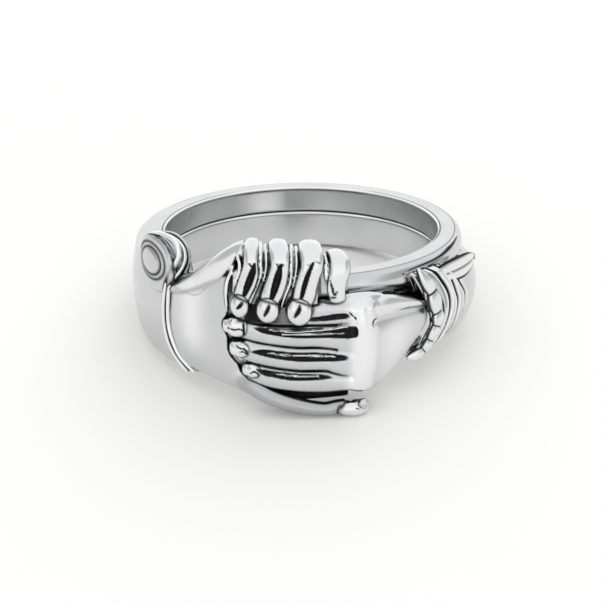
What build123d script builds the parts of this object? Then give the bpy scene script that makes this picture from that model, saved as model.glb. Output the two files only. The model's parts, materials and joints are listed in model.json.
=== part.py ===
from build123d import *
import math
import os

# A fede ring of the joined kind: two silver hoops lie one on the other and turn on a rivet at the
# back. Each hoop is cast with a sleeve and a hand, and the two hands clasp at the front.
# It is drawn upright first: the hoops' axis is +Z, the front is -Y and the lower hoop stands on
# height 0. An angle is measured at that axis, in degrees from the front, and grows towards +X.
# At the end the ring is leaned back, as it lies by itself on its side: the hands are taller than
# the hoops, so the front stands on the thumb.

# Hoops
bore_radius = 8.65
upper_wall = 1.55
lower_wall = 1.15
upper_height = 1.68
lower_height = 2.42
hoop_gap = 0.05

# Play between the two castings, wherever they pass each other
play = 0.10

# Rivet at the back, with two flush countersunk ends
rivet_radius = 0.30
rivet_head_radius = 0.46
rivet_head_depth = 0.20
rivet_play = 0.03
rivet_inset = 0.02

# How far the hands stand above the upper hoop and hang below the lower one
hand_rise = 2.45
hand_drop = 4.22
right_drop = 3.00

# Left sleeve and left hand
left_back_angle = -140
left_cuff_angle = -46
left_hand_end = 16
left_sleeve_thickness = 0.65
left_sleeve_fall = 4.95
left_hand_thickness = 1.15
piping_radius = 0.16
piping_pitch = 0.30
flap_radius = 1.22
flap_angle = -56
flap_rise = 0.05
button_radius = 0.52
button_rise = 0.22

# The clasp: the right hand's fingers run on faces that are round about the rivet
palm_thickness = 0.60
finger_thickness = 0.85
grip_thickness = 0.78
clasp_reach = 4.60
channel_low = 3.10
channel_roof = 0.15
finger_line_height = 2.42
finger_pitch = 1.40
finger_width = 1.44
grip_width = 1.26
thumb_width = 1.00

# Right sleeve and right hand
right_back_angle = 125
right_cuff_angle = 46
right_hand_start = 15
right_sleeve_thickness = 1.45
right_hand_thickness = 1.85
bead_count = 8
bead_radius = 0.46
bead_sunk = 0.60
bead_bed = 0.80
rib_count = 3
rib_radius = 0.26
rib_pitch = 4.6
tab_width = 0.70
tab_thickness = 0.50
tab_angle = 69.5

# Shares that hold all round the ring: where a hoop's dome starts across its wall, where a
# section's crown starts across its depth, and how much of the upper wall is cast into each hand
dome_share = 0.70
crown_share = 0.78
inner_share = 0.25

# The left sleeve from the back to the cuff. Shares: of the way round, of the wall's growth, of
# the fall below the upper hoop, and of the slopes at the top and the bottom.
left_sleeve_rows = [
    # way, growth, fall, top slope, bottom slope
    (0.00, 0.00, 0.00, 0.10, 0.04),
    (0.25, 0.35, 0.38, 0.16, 0.06),
    (0.52, 0.90, 0.74, 0.30, 0.12),
    (0.74, 1.00, 0.89, 0.34, 0.14),
    (0.88, 1.00, 0.97, 0.32, 0.13),
    (1.00, 0.96, 1.01, 0.30, 0.12),
]

# The left hand from the cuff to the end of the palm. Shares: of the way round, of the rise above
# the upper hoop, of the drop below the lower one, of the thickness, and of the slopes.
left_hand_rows = [
    # way, rise, drop, thickness, top slope, bottom slope
    (0.00, 0.00, 0.56, 0.70, 0.40, 0.10),
    (0.14, 0.05, 0.51, 0.88, 0.50, 0.10),
    (0.27, 0.32, 0.57, 0.98, 0.55, 0.10),
    (0.42, 0.84, 0.68, 1.00, 0.60, 0.10),
    (0.58, 0.70, 0.79, 0.55, 0.40, 0.10),
    (0.78, 0.55, 0.82, 0.50, 0.30, 0.10),
    (1.00, 0.40, 0.80, 0.50, 0.30, 0.10),
]

# The cuff's edge on the left, from the bottom up and round the flap. Shares: of the cuff's angle,
# of the way from the flap's angle to the cuff's, of the height up to the hoop's top, of the
# flap's radius above that, and of the piping's radius that the line sinks in.
cuff_rows = [
    # towards cuff, height, above, sunk
    (1.40, 0.00, 0.00, 0.60),
    (1.05, 0.30, 0.00, 0.00),
    (0.80, 0.62, 0.00, 0.00),
    (0.85, 0.84, 0.00, 0.00),
    (0.79, 1.00, 0.55, 0.00),
    (0.32, 1.00, 1.00, 0.30),
    (-0.32, 1.00, 1.00, 0.75),
]

# The left hand's fingers, which curl over the top. Places along the clasp are shares of its
# reach; the top is a share of the rise; the tip is a share of the upper hoop's top.
grip_rows = [
    # root, top, knuckle, tip, top height, tip height
    (-0.60, -0.61, -0.65, -0.79, 1.00, 0.66),
    (-0.28, -0.29, -0.30, -0.42, 1.00, 0.62),
    (0.07, 0.09, 0.11, -0.02, 1.00, 0.58),
    (0.40, 0.43, 0.50, 0.48, 0.76, 0.84),
]

# The line of each of those fingers. Shares: of the way outwards from the hand's inner wall, of
# the climb to the top, of the fall to the tip, of the finger's width and of its thickness. The
# place along the clasp goes from one named place of the finger to the next.
grip_line_rows = [
    # outwards, climb, fall, from, to, share between, width, thickness
    (0.20, 0.15, 0.00, "root", "top", 0.00, 0.92, 1.00),
    (0.42, 0.85, 0.00, "root", "top", 1.00, 1.00, 1.00),
    (0.76, 1.00, 0.00, "root", "top", 1.00, 1.00, 1.00),
    (1.00, 1.00, 0.30, "top", "knuckle", 0.80, 1.00, 1.00),
    (1.00, 1.00, 0.62, "knuckle", "tip", 0.50, 1.00, 1.00),
    (1.00, 1.00, 1.00, "knuckle", "tip", 1.00, 0.92, 0.95),
    (1.00, 1.00, 1.15, "knuckle", "tip", 1.00, 0.45, 0.50),
]

# The left thumb along the bottom of the clasp. Shares: of the reach, of the drop, of the width.
# The row with the largest drop is the one that touches the table.
thumb_rows = [
    # along, drop, half height, half thickness
    (-0.91, 0.40, 0.60, 0.52),
    (-0.65, 0.56, 0.60, 0.54),
    (-0.43, 0.70, 0.50, 0.50),
    (-0.22, 0.836, 0.42, 0.45),
    (0.04, 0.908, 0.37, 0.40),
    (0.30, 0.912, 0.37, 0.38),
    (0.52, 0.893, 0.44, 0.42),
    (0.70, 0.881, 0.49, 0.46),
    (0.82, 0.889, 0.38, 0.36),
    (0.87, 0.889, 0.15, 0.15),
]

# The room for the right hand's fingers, seen from the front, down its left end. Shares of the
# reach, and of the finger's pitch below the line of the first finger.
channel_rows = [
    # along, below
    (-1.04, 0.00),
    (-1.04, 1.50),
    (-0.96, 2.10),
    (-0.86, 2.95),
    (-0.62, 3.30),
    (-0.45, 3.50),
]
channel_foot = -0.17
channel_head = -0.92

# The right hand's four fingers, from the thumb side down: the tip as a share of the reach, and
# its rise above the finger's own line as a share of the pitch. Then the shares along a finger.
finger_rows = [
    # tip, tip rise
    (-0.84, 0.00),
    (-0.98, 0.10),
    (-0.91, 0.26),
    (-0.78, 0.40),
]
finger_line_rows = [
    # way, bend, width
    (0.00, 0.00, 1.00),
    (0.24, 0.00, 1.00),
    (0.48, 0.13, 1.00),
    (0.72, 0.53, 0.97),
    (0.90, 0.83, 0.90),
    (0.97, 0.95, 0.74),
    (1.00, 1.00, 0.40),
]
knuckle_along = 0.86

# The right hand from the fingers to the cuff. Shares: of the way round, of the upper hoop's top,
# of the drop, of the thickness, and of the slopes.
right_hand_rows = [
    # way, top, drop, thickness, top slope, bottom slope
    (0.00, 0.70, 0.90, 0.96, 0.30, 0.12),
    (0.17, 0.72, 0.99, 1.05, 0.30, 0.12),
    (0.33, 0.69, 0.90, 0.98, 0.30, 0.12),
    (0.52, 0.62, 0.74, 0.84, 0.30, 0.12),
    (0.74, 0.54, 0.50, 0.68, 0.30, 0.12),
    (1.00, 0.52, 0.38, 0.62, 0.30, 0.12),
]

# The right thumb, from its tip to the wrist. Shares: of the cuff's angle, of the upper hoop's
# top, and of the thumb's width for its distance outside the upper hoop and for its half width.
right_thumb_rows = [
    # along, height, outside, half width
    (0.30, 0.78, 0.61, 0.22),
    (0.36, 0.77, 0.64, 0.38),
    (0.46, 0.75, 0.69, 0.44),
    (0.62, 0.68, 0.77, 0.58),
    (0.84, 0.52, 0.88, 0.70),
]

# The right sleeve from its cuff to the back. Shares: of the way round, of the upper hoop's height
# that it rises, of the drop, of the wall's growth, and of the slopes.
right_sleeve_rows = [
    # way, rise, drop, growth, top slope, bottom slope
    (-0.04, 0.78, 0.44, 0.90, 0.25, 0.12),
    (0.14, 0.76, 0.36, 1.00, 0.25, 0.12),
    (0.30, 0.46, 0.28, 1.02, 0.25, 0.12),
    (0.44, 0.10, 0.20, 0.96, 0.25, 0.12),
    (0.70, 0.00, 0.06, 0.40, 0.25, 0.12),
    (1.00, 0.00, 0.00, 0.00, 0.25, 0.12),
]

# The right cuff's trim: its height as shares of the upper hoop's height and of the drop, how far
# its ends and its middle lie before and behind the cuff, in degrees, and how deep it sinks in
trim_rise = 0.62
trim_drop = 0.50
trim_ends = -5
trim_middle = 1
rib_ends_back = 3
rib_sunk_ends = 2.6
rib_sunk_middle = 0.4

# The tab on the right sleeve. Shares: of the way from its start to its tip, of its fall, of its
# thickness that it sinks in, and of its own width and thickness.
tab_start_ribs = 1.5
tab_fall = 0.50
tab_rows = [
    # way, fall, sunk, size
    (0.00, 0.00, 1.00, 1.00),
    (0.50, 0.20, 0.40, 1.00),
    (0.90, 0.84, 0.24, 1.00),
    (1.00, 1.00, 0.24, 0.40),
]

# Worked out from the sizes above
upper_radius = bore_radius + upper_wall
lower_radius = bore_radius + lower_wall
upper_bottom = lower_height + hoop_gap
upper_top = upper_bottom + upper_height
rivet_seat = bore_radius + lower_wall / 2
clear_of_lower = lower_radius + play
clear_of_upper = upper_radius + play
palm_face = rivet_seat + clear_of_lower + palm_thickness
finger_line = palm_face + play + finger_thickness / 2
grip_line = palm_face + 2 * play + finger_thickness + grip_thickness / 2
palm_end = clear_of_lower * math.sin(math.radians(left_hand_end))
cast_inner = bore_radius + upper_wall * inner_share
left_sleeve_radius = upper_radius + left_sleeve_thickness
right_sleeve_radius = lower_radius + right_sleeve_thickness
beyond = 4 * (bore_radius + hand_rise + hand_drop)


def ring_point(angle, radius, height):
    """A point from its angle at the axis, its distance from the axis and its height."""
    a = math.radians(angle)
    return Vector(radius * math.sin(a), -radius * math.cos(a), height)


def clasp_point(along, distance, height):
    """A point from its place across the front, its distance from the rivet and its height."""
    return Vector(along, rivet_seat - math.sqrt(distance**2 - along**2), height)


def between(start, end, share):
    return start + (end - start) * share


def softened(rows, steps=2):
    """More rows between those given, on a smooth curve through them."""
    more = []
    last = len(rows) - 1
    for i in range(last):
        near = [rows[max(i - 1, 0)], rows[i], rows[i + 1], rows[min(i + 2, last)]]
        for step in range(steps):
            t = step / steps
            row = []
            for a, b, c, d in zip(*near):
                bend = (a * 2 - b * 5 + c * 4 - d) * t**2 + (b * 3 - a - c * 3 + d) * t**3
                row.append((b * 2 + (c - a) * t + bend) * 0.5)
            more.append(row)
    return more + [rows[-1]]


def section(angle, crown, top, low, top_slope, bottom_slope):
    """A closed wire in the plane through the axis at this angle: a flat inner wall, a top and a
    bottom that slope outwards, and a crown between them."""
    reach = (crown - cast_inner) * crown_share
    high = ring_point(angle, cast_inner + reach, top - reach * top_slope)
    deep = ring_point(angle, cast_inner + reach, low + reach * bottom_slope)
    middle = ring_point(angle, crown, (high.Z + deep.Z) / 2)
    foot = ring_point(angle, cast_inner, low)
    head = ring_point(angle, cast_inner, top)
    return Wire(
        [
            Edge.make_line(foot, head),
            Edge.make_line(head, high),
            Edge.make_three_point_arc(high, middle, deep),
            Edge.make_line(deep, foot),
        ]
    )


def tube(stations, width_way):
    """A solid through ellipses along a line. A station is a point, a half width and a half
    thickness, and the width lies along width_way, square to the line."""
    stations = softened(stations, 3)
    points = [s[0] for s in stations]
    wires = []
    for i, (point, half_width, half_thickness) in enumerate(stations):
        before, after = points[max(i - 1, 0)], points[min(i + 1, len(points) - 1)]
        along = (after - before).normalized()
        across = (width_way - along * width_way.dot(along)).normalized()
        plane = Plane(origin=point, x_dir=across, z_dir=along)
        wires.append(Wire([Edge.make_ellipse(half_width, half_thickness, plane)]))
    return Solid.make_loft(wires)


def disc(radius, bottom, top, middle_y=0):
    """A plain cylinder about the axis, or about a line behind it."""
    return Pos(0, middle_y, bottom) * Solid.make_cylinder(radius, top - bottom)


def front_block(low_x, high_x):
    """A large block over the front half, between two places across it."""
    return Pos((low_x + high_x) / 2, -beyond / 2, 0) * Box(high_x - low_x, beyond, 2 * beyond)


def hoop(wall, bottom, height):
    """A band round the axis, flat inside and domed outside."""
    side = bore_radius + wall * dome_share
    top = bottom + height
    middle = bottom + height / 2
    outline = [
        Edge.make_line((bore_radius, bottom), (bore_radius, top)),
        Edge.make_line((bore_radius, top), (side, top)),
        Edge.make_three_point_arc((side, top), (bore_radius + wall, middle), (side, bottom)),
        Edge.make_line((side, bottom), (bore_radius, bottom)),
    ]
    return revolve(Plane.XZ * make_face(Wire(outline)), Axis.Z).solid()


def rivet_body(radius, head_radius, end_inset):
    """The rivet's shape, which is also the shape of its hole when it is made larger."""
    bottom = end_inset
    top = upper_top - end_inset
    low_head = Pos(0, 0, bottom) * Solid.make_cone(head_radius, radius, rivet_head_depth)
    top_head = Pos(0, 0, top - rivet_head_depth) * Solid.make_cone(radius, head_radius, rivet_head_depth)
    return Pos(0, rivet_seat, 0) * (disc(radius, bottom, top) + low_head + top_head)


def rivet_hole():
    return rivet_body(rivet_radius + rivet_play, rivet_head_radius + rivet_play, 0)


def lower_hoop_room():
    """What the left hand and sleeve keep clear of: the lower hoop, at rest and while the ring
    opens, when the palm slides over the lower hoop's front."""
    still = disc(clear_of_lower, -beyond, upper_bottom)
    swing = disc(rivet_seat + clear_of_lower, -beyond, upper_bottom, rivet_seat)
    return still + (swing & front_block(0, beyond))


def channel():
    """The room between the left palm and its fingertips, where the right hand's fingers lie."""
    outer = disc(grip_line - grip_thickness / 2, -beyond, beyond, rivet_seat)
    inner = disc(palm_face, -beyond, beyond, rivet_seat)
    roof = upper_top + channel_roof
    outline = [(channel_head * clasp_reach, roof)]
    for along, below in channel_rows:
        outline.append((along * clasp_reach, finger_line_height - finger_pitch * below))
    outline += [(channel_foot * clasp_reach, -channel_low), (beyond, -channel_low), (beyond, roof)]
    window = extrude(Plane.XZ * make_face(Polyline(*outline, close=True)), beyond)
    return (outer - inner) & window


def left_sleeve():
    wires = []
    for way, growth, fall, top_slope, bottom_slope in softened(left_sleeve_rows):
        angle = between(left_back_angle, left_cuff_angle, way)
        crown = upper_radius + left_sleeve_thickness * growth
        low = upper_bottom - left_sleeve_fall * fall
        wires.append(section(angle, crown, upper_top, low, top_slope, bottom_slope))
    return Solid.make_loft(wires)


def left_palm():
    wires = []
    for way, rise, drop, thickness, top_slope, bottom_slope in softened(left_hand_rows):
        angle = between(left_cuff_angle, left_hand_end, way)
        crown = upper_radius + left_hand_thickness * thickness
        top = upper_top + hand_rise * rise
        wires.append(section(angle, crown, top, -hand_drop * drop, top_slope, bottom_slope))
    return Solid.make_loft(wires) - front_block(palm_end, beyond)


def grip(root, top, knuckle, tip, top_height, tip_height):
    """One of the left hand's curled fingers, from its root on the palm over to its tip."""
    places = {"root": root, "top": top, "knuckle": knuckle, "tip": tip}
    half_width = grip_width / 2
    half_thickness = grip_thickness / 2
    peak = upper_top + hand_rise * top_height - half_thickness
    end = upper_top * tip_height
    inner = rivet_seat + cast_inner
    stations = []
    for outwards, climb, fall, start, stop, share, width, thickness in grip_line_rows:
        along = between(places[start], places[stop], share) * clasp_reach
        height = between(upper_top, peak, climb) - (peak - end) * fall
        point = clasp_point(along, between(inner, grip_line, outwards), height)
        stations.append((point, half_width * width, half_thickness * thickness))
    return tube(stations, Vector(1, 0, 0))


def left_thumb():
    stations = []
    for along, drop, half_height, half_thickness in thumb_rows:
        point = clasp_point(along * clasp_reach, finger_line, -hand_drop * drop)
        stations.append((point, half_height * thumb_width, half_thickness * thumb_width))
    return tube(stations, Vector(0, 0, 1))


def piping(inset):
    """A round cord of metal along the cuff's edge, moved back from it by an inset."""
    back = math.degrees(inset / left_sleeve_radius)
    bottom = upper_bottom - left_sleeve_fall
    stations = []
    for towards, height, above, sunk in cuff_rows:
        angle = between(flap_angle, left_cuff_angle, towards) - back * min(1, towards + above)
        rise = between(bottom, upper_top, height) + (flap_radius - inset) * above
        point = ring_point(angle, left_sleeve_radius - piping_radius * sunk, rise)
        stations.append((point, piping_radius, piping_radius))
    return tube(stations, ring_point(left_cuff_angle, 1, 1))


def left_cuff():
    """Two pipings along the cuff's edge, the flap that they turn round and its button."""
    outward = ring_point(flap_angle, 1, 0)
    seat_radius = bore_radius + upper_wall / 2
    flap_length = left_sleeve_radius + flap_rise - seat_radius
    seat = Plane(origin=ring_point(flap_angle, seat_radius, upper_top), z_dir=outward)
    flap = seat * Solid.make_cylinder(flap_radius, flap_length)
    button = seat * Solid.make_cylinder(button_radius, flap_length + button_rise)
    return [piping(0), piping(piping_pitch), flap, button]


def finger(index, tip, tip_rise):
    """One of the right hand's straight fingers, along the face round the rivet."""
    line = finger_line_height - index * finger_pitch
    stations = []
    for way, bend, width in finger_line_rows:
        along = between(knuckle_along, tip, way) * clasp_reach
        point = clasp_point(along, finger_line, line + tip_rise * finger_pitch * bend)
        stations.append((point, finger_width / 2 * width, finger_thickness / 2 * width))
    return tube(stations, Vector(0, 0, 1))


def right_palm():
    wires = []
    for way, top, drop, thickness, top_slope, bottom_slope in softened(right_hand_rows):
        angle = between(right_hand_start, right_cuff_angle, way)
        crown = lower_radius + right_hand_thickness * thickness
        wires.append(section(angle, crown, upper_top * top, -right_drop * drop, top_slope, bottom_slope))
    return Solid.make_loft(wires)


def right_thumb():
    stations = []
    for along, height, outside, half_width in right_thumb_rows:
        radius = clear_of_upper + thumb_width * outside
        point = ring_point(right_cuff_angle * along, radius, upper_top * height)
        stations.append((point, half_width * thumb_width, half_width * thumb_width))
    return tube(stations, Vector(0, 0, 1))


def right_sleeve():
    wires = []
    for way, rise, drop, growth, top_slope, bottom_slope in softened(right_sleeve_rows):
        angle = between(right_cuff_angle, right_back_angle, way)
        crown = lower_radius + right_sleeve_thickness * growth
        top = lower_height + upper_height * rise
        wires.append(section(angle, crown, top, -right_drop * drop, top_slope, bottom_slope))
    return Solid.make_loft(wires)


def beads():
    """A row of beads along the right cuff's edge, on a round bed."""
    top = lower_height + upper_height * trim_rise
    low = -right_drop * trim_drop
    radius = right_sleeve_radius - bead_radius * bead_sunk
    pieces = []
    bed = []
    for i in range(bead_count):
        share = i / (bead_count - 1)
        bow = 1 - (2 * share - 1) ** 2
        angle = right_cuff_angle + between(trim_ends, trim_middle, bow)
        point = ring_point(angle, radius, between(low, top, share))
        pieces.append(Pos(point) * Solid.make_sphere(bead_radius, angle1=-90, angle2=90))
        bed.append((point, bead_radius * bead_bed, bead_radius * bead_bed))
    return pieces + [tube(bed, ring_point(right_cuff_angle, 1, 0))]


def rib(index):
    """One of the gathers behind the beads, a half-sunk rod round the sleeve."""
    top = lower_height + upper_height * trim_rise
    low = -right_drop * trim_drop + rib_radius
    angle = right_cuff_angle + rib_pitch * (index + 1)
    ends = right_sleeve_radius - rib_radius * rib_sunk_ends
    middle = right_sleeve_radius - rib_radius * rib_sunk_middle
    path = Edge.make_three_point_arc(
        ring_point(angle - rib_ends_back, ends, low),
        ring_point(angle, middle, (low + top) / 2),
        ring_point(angle - rib_ends_back, ends, top),
    )
    circle = Wire([Edge.make_circle(rib_radius, Plane(origin=path @ 0, z_dir=path % 0))])
    return Solid.sweep(Face(circle), path)


def tab():
    """The tab that lies on the right sleeve, behind the ribs."""
    start = right_cuff_angle + rib_pitch * tab_start_ribs
    height = lower_height + upper_height * trim_rise
    stations = []
    for way, fall, sunk, size in tab_rows:
        radius = right_sleeve_radius - tab_thickness * sunk
        point = ring_point(between(start, tab_angle, way), radius, height - tab_fall * fall)
        stations.append((point, tab_width / 2 * size, tab_thickness / 2 * size))
    return tube(stations, Vector(0, 0, 1))


def upper_ring():
    """The upper casting: its hoop, the left sleeve and the left hand."""
    body = left_sleeve().fuse(left_palm(), *left_cuff(), left_thumb(), *[grip(*row) for row in grip_rows])
    body = body - lower_hoop_room() - channel()
    return body + hoop(upper_wall, upper_bottom, upper_height) - rivet_hole()


def lower_ring():
    """The lower casting: its hoop, the right sleeve and the right hand."""
    ribs = [rib(i) for i in range(rib_count)]
    hand = right_palm()
    for piece in [right_thumb(), right_sleeve(), tab(), *ribs, *beads()]:
        hand = hand.fuse(piece)
    palm_room = disc(palm_face + play, -beyond, beyond, rivet_seat) & front_block(-beyond, palm_end + play)
    hand = hand - disc(clear_of_upper, lower_height, beyond) - palm_room
    fingers = [finger(i, *row) for i, row in enumerate(finger_rows)]
    return hand.fuse(*fingers) + hoop(lower_wall, 0, lower_height) - rivet_hole()


def thumb_drop(row):
    return row[1]


def rest_lean():
    """How far the ring leans back when the thumb and the lower hoop's back edge meet a table."""
    along, drop, half_height, half_thickness = max(thumb_rows, key=thumb_drop)
    thumb = clasp_point(along * clasp_reach, finger_line, -hand_drop * drop)
    reach = bore_radius + lower_wall * dome_share - thumb.Y
    slack = math.asin(half_height * thumb_width / math.hypot(thumb.Z, reach))
    return math.degrees(slack - math.atan2(thumb.Z, reach))


lean = rest_lean()
nodes = {
    "upper_ring": upper_ring(),
    "lower_ring": lower_ring(),
    "rivet": rivet_body(rivet_radius, rivet_head_radius, rivet_inset),
}
leaned = {name: node.rotate(Axis.X, -lean) for name, node in nodes.items()}
box = Compound(children=[solid for node in leaned.values() for solid in node.solids()]).bounding_box()
shift = Location((-(box.min.X + box.max.X) / 2, -(box.min.Y + box.max.Y) / 2, -box.min.Z))

os.makedirs("parts", exist_ok=True)
for name, node in leaned.items():
    placed = node.moved(shift)
    print(name, len(placed.solids()), "solids", round(placed.volume, 2), "mm3")
    export_step(placed, f"parts/{name}.step")

turn = shift * Rot(X=-lean)
print("lean", round(lean, 3), "size", box.size)
print("hinge point", (turn * Pos(0, rivet_seat, upper_bottom)).position)
print("bore centre", (turn * Pos(0, 0, upper_top / 2)).position, "length", upper_top)
print("axis", (Rot(X=-lean) * Pos(0, 0, 1)).position)
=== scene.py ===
# Fede ring: two silver hoops on a rivet, each with a sleeve and a hand, clasped at the front.
# Everything is worked out in millimetres on the upright ring: x to the right, y to the back, h up
# from the lower hoop's bottom. onTable leans it back and turns it into metres in the CAD frame.
import json
import math
import bpy
import numpy as np
from mathutils import Matrix, Vector


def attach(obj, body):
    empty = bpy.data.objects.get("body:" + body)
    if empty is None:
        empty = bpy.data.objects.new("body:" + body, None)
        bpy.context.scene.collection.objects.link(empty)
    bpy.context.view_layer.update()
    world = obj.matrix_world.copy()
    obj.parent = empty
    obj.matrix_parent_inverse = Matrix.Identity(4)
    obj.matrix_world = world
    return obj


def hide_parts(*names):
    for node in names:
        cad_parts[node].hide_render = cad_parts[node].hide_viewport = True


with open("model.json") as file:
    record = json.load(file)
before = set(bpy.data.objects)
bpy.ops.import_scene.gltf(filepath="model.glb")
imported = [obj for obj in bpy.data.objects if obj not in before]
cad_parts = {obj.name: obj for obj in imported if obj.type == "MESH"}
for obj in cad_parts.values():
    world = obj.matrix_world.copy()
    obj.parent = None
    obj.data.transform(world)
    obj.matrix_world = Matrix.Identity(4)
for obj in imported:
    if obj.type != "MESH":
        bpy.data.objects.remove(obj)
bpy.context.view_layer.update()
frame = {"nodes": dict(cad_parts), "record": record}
print("frame loaded:", sorted(frame["nodes"]))

bore = next(m for m in frame["record"]["mounts"] if m["name"] == "finger_bore")
ring = {
    "upperBottom": 2.47, "upperTop": 4.15, "lowerTop": 2.42,
    "seat": 9.225,          # how far behind the axis the rivet stands
    "sleeveRoom": 9.92,     # the left sleeve and palm stay outside this, below the upper hoop
    "handRoom": 10.30,      # the right sleeve and hand stay outside this, beside the upper hoop
}
upper, lower = ("upper_half", ["upper_ring"]), ("lower_half", ["lower_ring"])    # bodies and nodes


def turned():
    axis = bore["axis"]
    length = math.hypot(axis[1], axis[2])
    return axis[1] / length, axis[2] / length    # sine and cosine of the lean


def onTable(p):    # upright ring millimetres -> metres in the CAD frame
    s, c = turned()
    x, y, z = p[..., 0], p[..., 1], p[..., 2] - ring["upperTop"] / 2
    moved = np.stack([x, y * c + z * s, z * c - y * s], axis=-1)
    return moved * 0.001 + np.array(bore["pos_m"])


def fromAxis(angle, radius, height):    # degrees from the front, millimetres
    a = np.radians(angle)
    return np.stack(np.broadcast_arrays(radius * np.sin(a), -radius * np.cos(a), height), axis=-1)


def fromRivet(along, distance, height):    # place across the clasp, distance from the rivet
    back = ring["seat"] - np.sqrt(distance ** 2 - along ** 2)
    return np.stack(np.broadcast_arrays(along, back, height), axis=-1)


def around(x, y):    # angle from the front in degrees, distance from the ring's axis
    return np.degrees(np.arctan2(x, -y)), np.hypot(x, y)


def smooth(t):    # 0 to 1 with flat ends
    t = np.clip(t, 0, 1)
    return t * t * (3 - 2 * t)


def ramp(x, start, width):    # 0 up to the start, 1 a width further on; a negative width falls
    return smooth((x - start) / width)


def window(x, rise, fall):    # 1 between two ramps, each a start and a width
    return ramp(x, *rise) * ramp(x, *fall)


def bell(x, width):    # 1 at zero, falling off on both sides
    return np.exp(-(x / width) ** 2)


def between(a, b, share):    # a at share 0, b at share 1
    return a * (1 - share) + b * share


def unit(v):
    return v / np.linalg.norm(v, axis=1)[:, None]


def curve(rows, at):
    # a smooth line through the rows of a table: each row starts with its place, then its values,
    # and the slope at a row is that of the line through its neighbours
    rows = np.array(rows, float)
    place, values = rows[:, 0], rows[:, 1:]
    at = np.clip(np.asarray(at, float), place[0], place[-1])
    i = np.clip(np.searchsorted(place, at, side="right") - 1, 0, len(place) - 2)
    slope = np.gradient(values, place, axis=0)
    gap = (place[i + 1] - place[i])
    t = ((at - place[i]) / gap)[..., None]
    gap = gap[..., None]
    return (values[i] * (2 * t ** 3 - 3 * t ** 2 + 1) + slope[i] * gap * (t ** 3 - 2 * t ** 2 + t)
            + values[i + 1] * (3 * t ** 2 - 2 * t ** 3) + slope[i + 1] * gap * (t ** 3 - t ** 2))


def lineAt(rows, at):    # the same for a table of one value a row
    return curve(rows, at)[..., 0]


def evenly(rows, corners, count):    # the rows at even steps along their corners, and the length
    place = np.concatenate([[0], np.cumsum(np.linalg.norm(np.diff(corners, axis=0), axis=1))])
    return curve(np.column_stack([place, rows]), np.linspace(0, place[-1], count)), place[-1]


def newObject(name, data):
    made = bpy.data.objects.new(name, data)
    bpy.context.scene.collection.objects.link(made)
    return made


def makePiece(name, points, faces, half, tarnish, rubbed):
    body, nodes = half
    faces = outwards(points, faces)
    mesh = bpy.data.meshes.new(name)
    mesh.vertices.add(len(points))
    mesh.vertices.foreach_set("co", onTable(points).astype(np.float32).ravel())
    mesh.loops.add(faces.size)
    mesh.loops.foreach_set("vertex_index", faces.astype(np.int32).ravel())
    mesh.polygons.add(len(faces))
    mesh.polygons.foreach_set("loop_start", np.arange(0, faces.size, 4, dtype=np.int32))
    mesh.update(calc_edges=True)
    mesh.validate()
    mesh.polygons.foreach_set("use_smooth", np.ones(len(mesh.polygons), bool))
    for label, values in (("tarnish", tarnish), ("rubbed", rubbed)):
        layer = mesh.attributes.new(label, "FLOAT", "POINT")
        layer.data.foreach_set("value", np.ravel(values).astype(np.float32))
    mesh.materials.append(polished)
    piece = newObject(name, mesh)
    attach(piece, body)
    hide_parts(*nodes)
    print(name, len(points), "points,", len(faces), "faces")


def gridFaces(rows, columns, closedRows=False):
    # four-cornered faces of a grid whose columns run round and close
    i = np.arange(rows if closedRows else rows - 1)[:, None]
    j = np.arange(columns)[None, :]
    a, b = i * columns + j, i * columns + (j + 1) % columns
    c, d = ((i + 1) % rows) * columns + (j + 1) % columns, ((i + 1) % rows) * columns + j
    return np.stack([a, b, c, d], axis=-1).reshape(-1, 4)


def outwards(points, faces):    # turns all faces round where they enclose a negative volume
    a, b, c, d = (points[faces[:, k]] for k in range(4))
    volume = np.einsum("ij,ij->", a, np.cross(b, c)) + np.einsum("ij,ij->", a, np.cross(c, d))
    return faces if volume > 0 else faces[:, ::-1]


def joined(parts):    # closed grids of points and faces as one mesh, and where each one starts
    starts = np.cumsum([0] + [len(points) for points, _ in parts])
    faces = [outwards(points, faces) + start for (points, faces), start in zip(parts, starts)]
    return np.concatenate([points for points, _ in parts]), np.concatenate(faces), starts


def closed(points, faces, rows, columns):
    # closes a grid's two end loops, each with one point and thin faces of four corners
    first, last = points[:columns].mean(axis=0), points[-columns:].mean(axis=0)
    n, j, top = len(points), np.arange(0, columns, 2), (rows - 1) * columns
    a = np.stack([np.full(len(j), n), (j + 2) % columns, (j + 1) % columns, j], axis=-1)
    b = np.stack([np.full(len(j), n + 1), top + j, top + (j + 1) % columns,
                  top + (j + 2) % columns], axis=-1)
    return np.concatenate([points, [first, last]]), np.concatenate([faces, a, b])


def roundProfile(count, power=2.0):    # a circle, or with a higher power a rounder square
    a = np.linspace(0, 2 * math.pi, count, endpoint=False)
    c, s = np.cos(a), np.sin(a)
    k = (np.abs(c) ** power + np.abs(s) ** power) ** (-1 / power)
    return np.stack([c * k, s * k], axis=-1)


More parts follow.
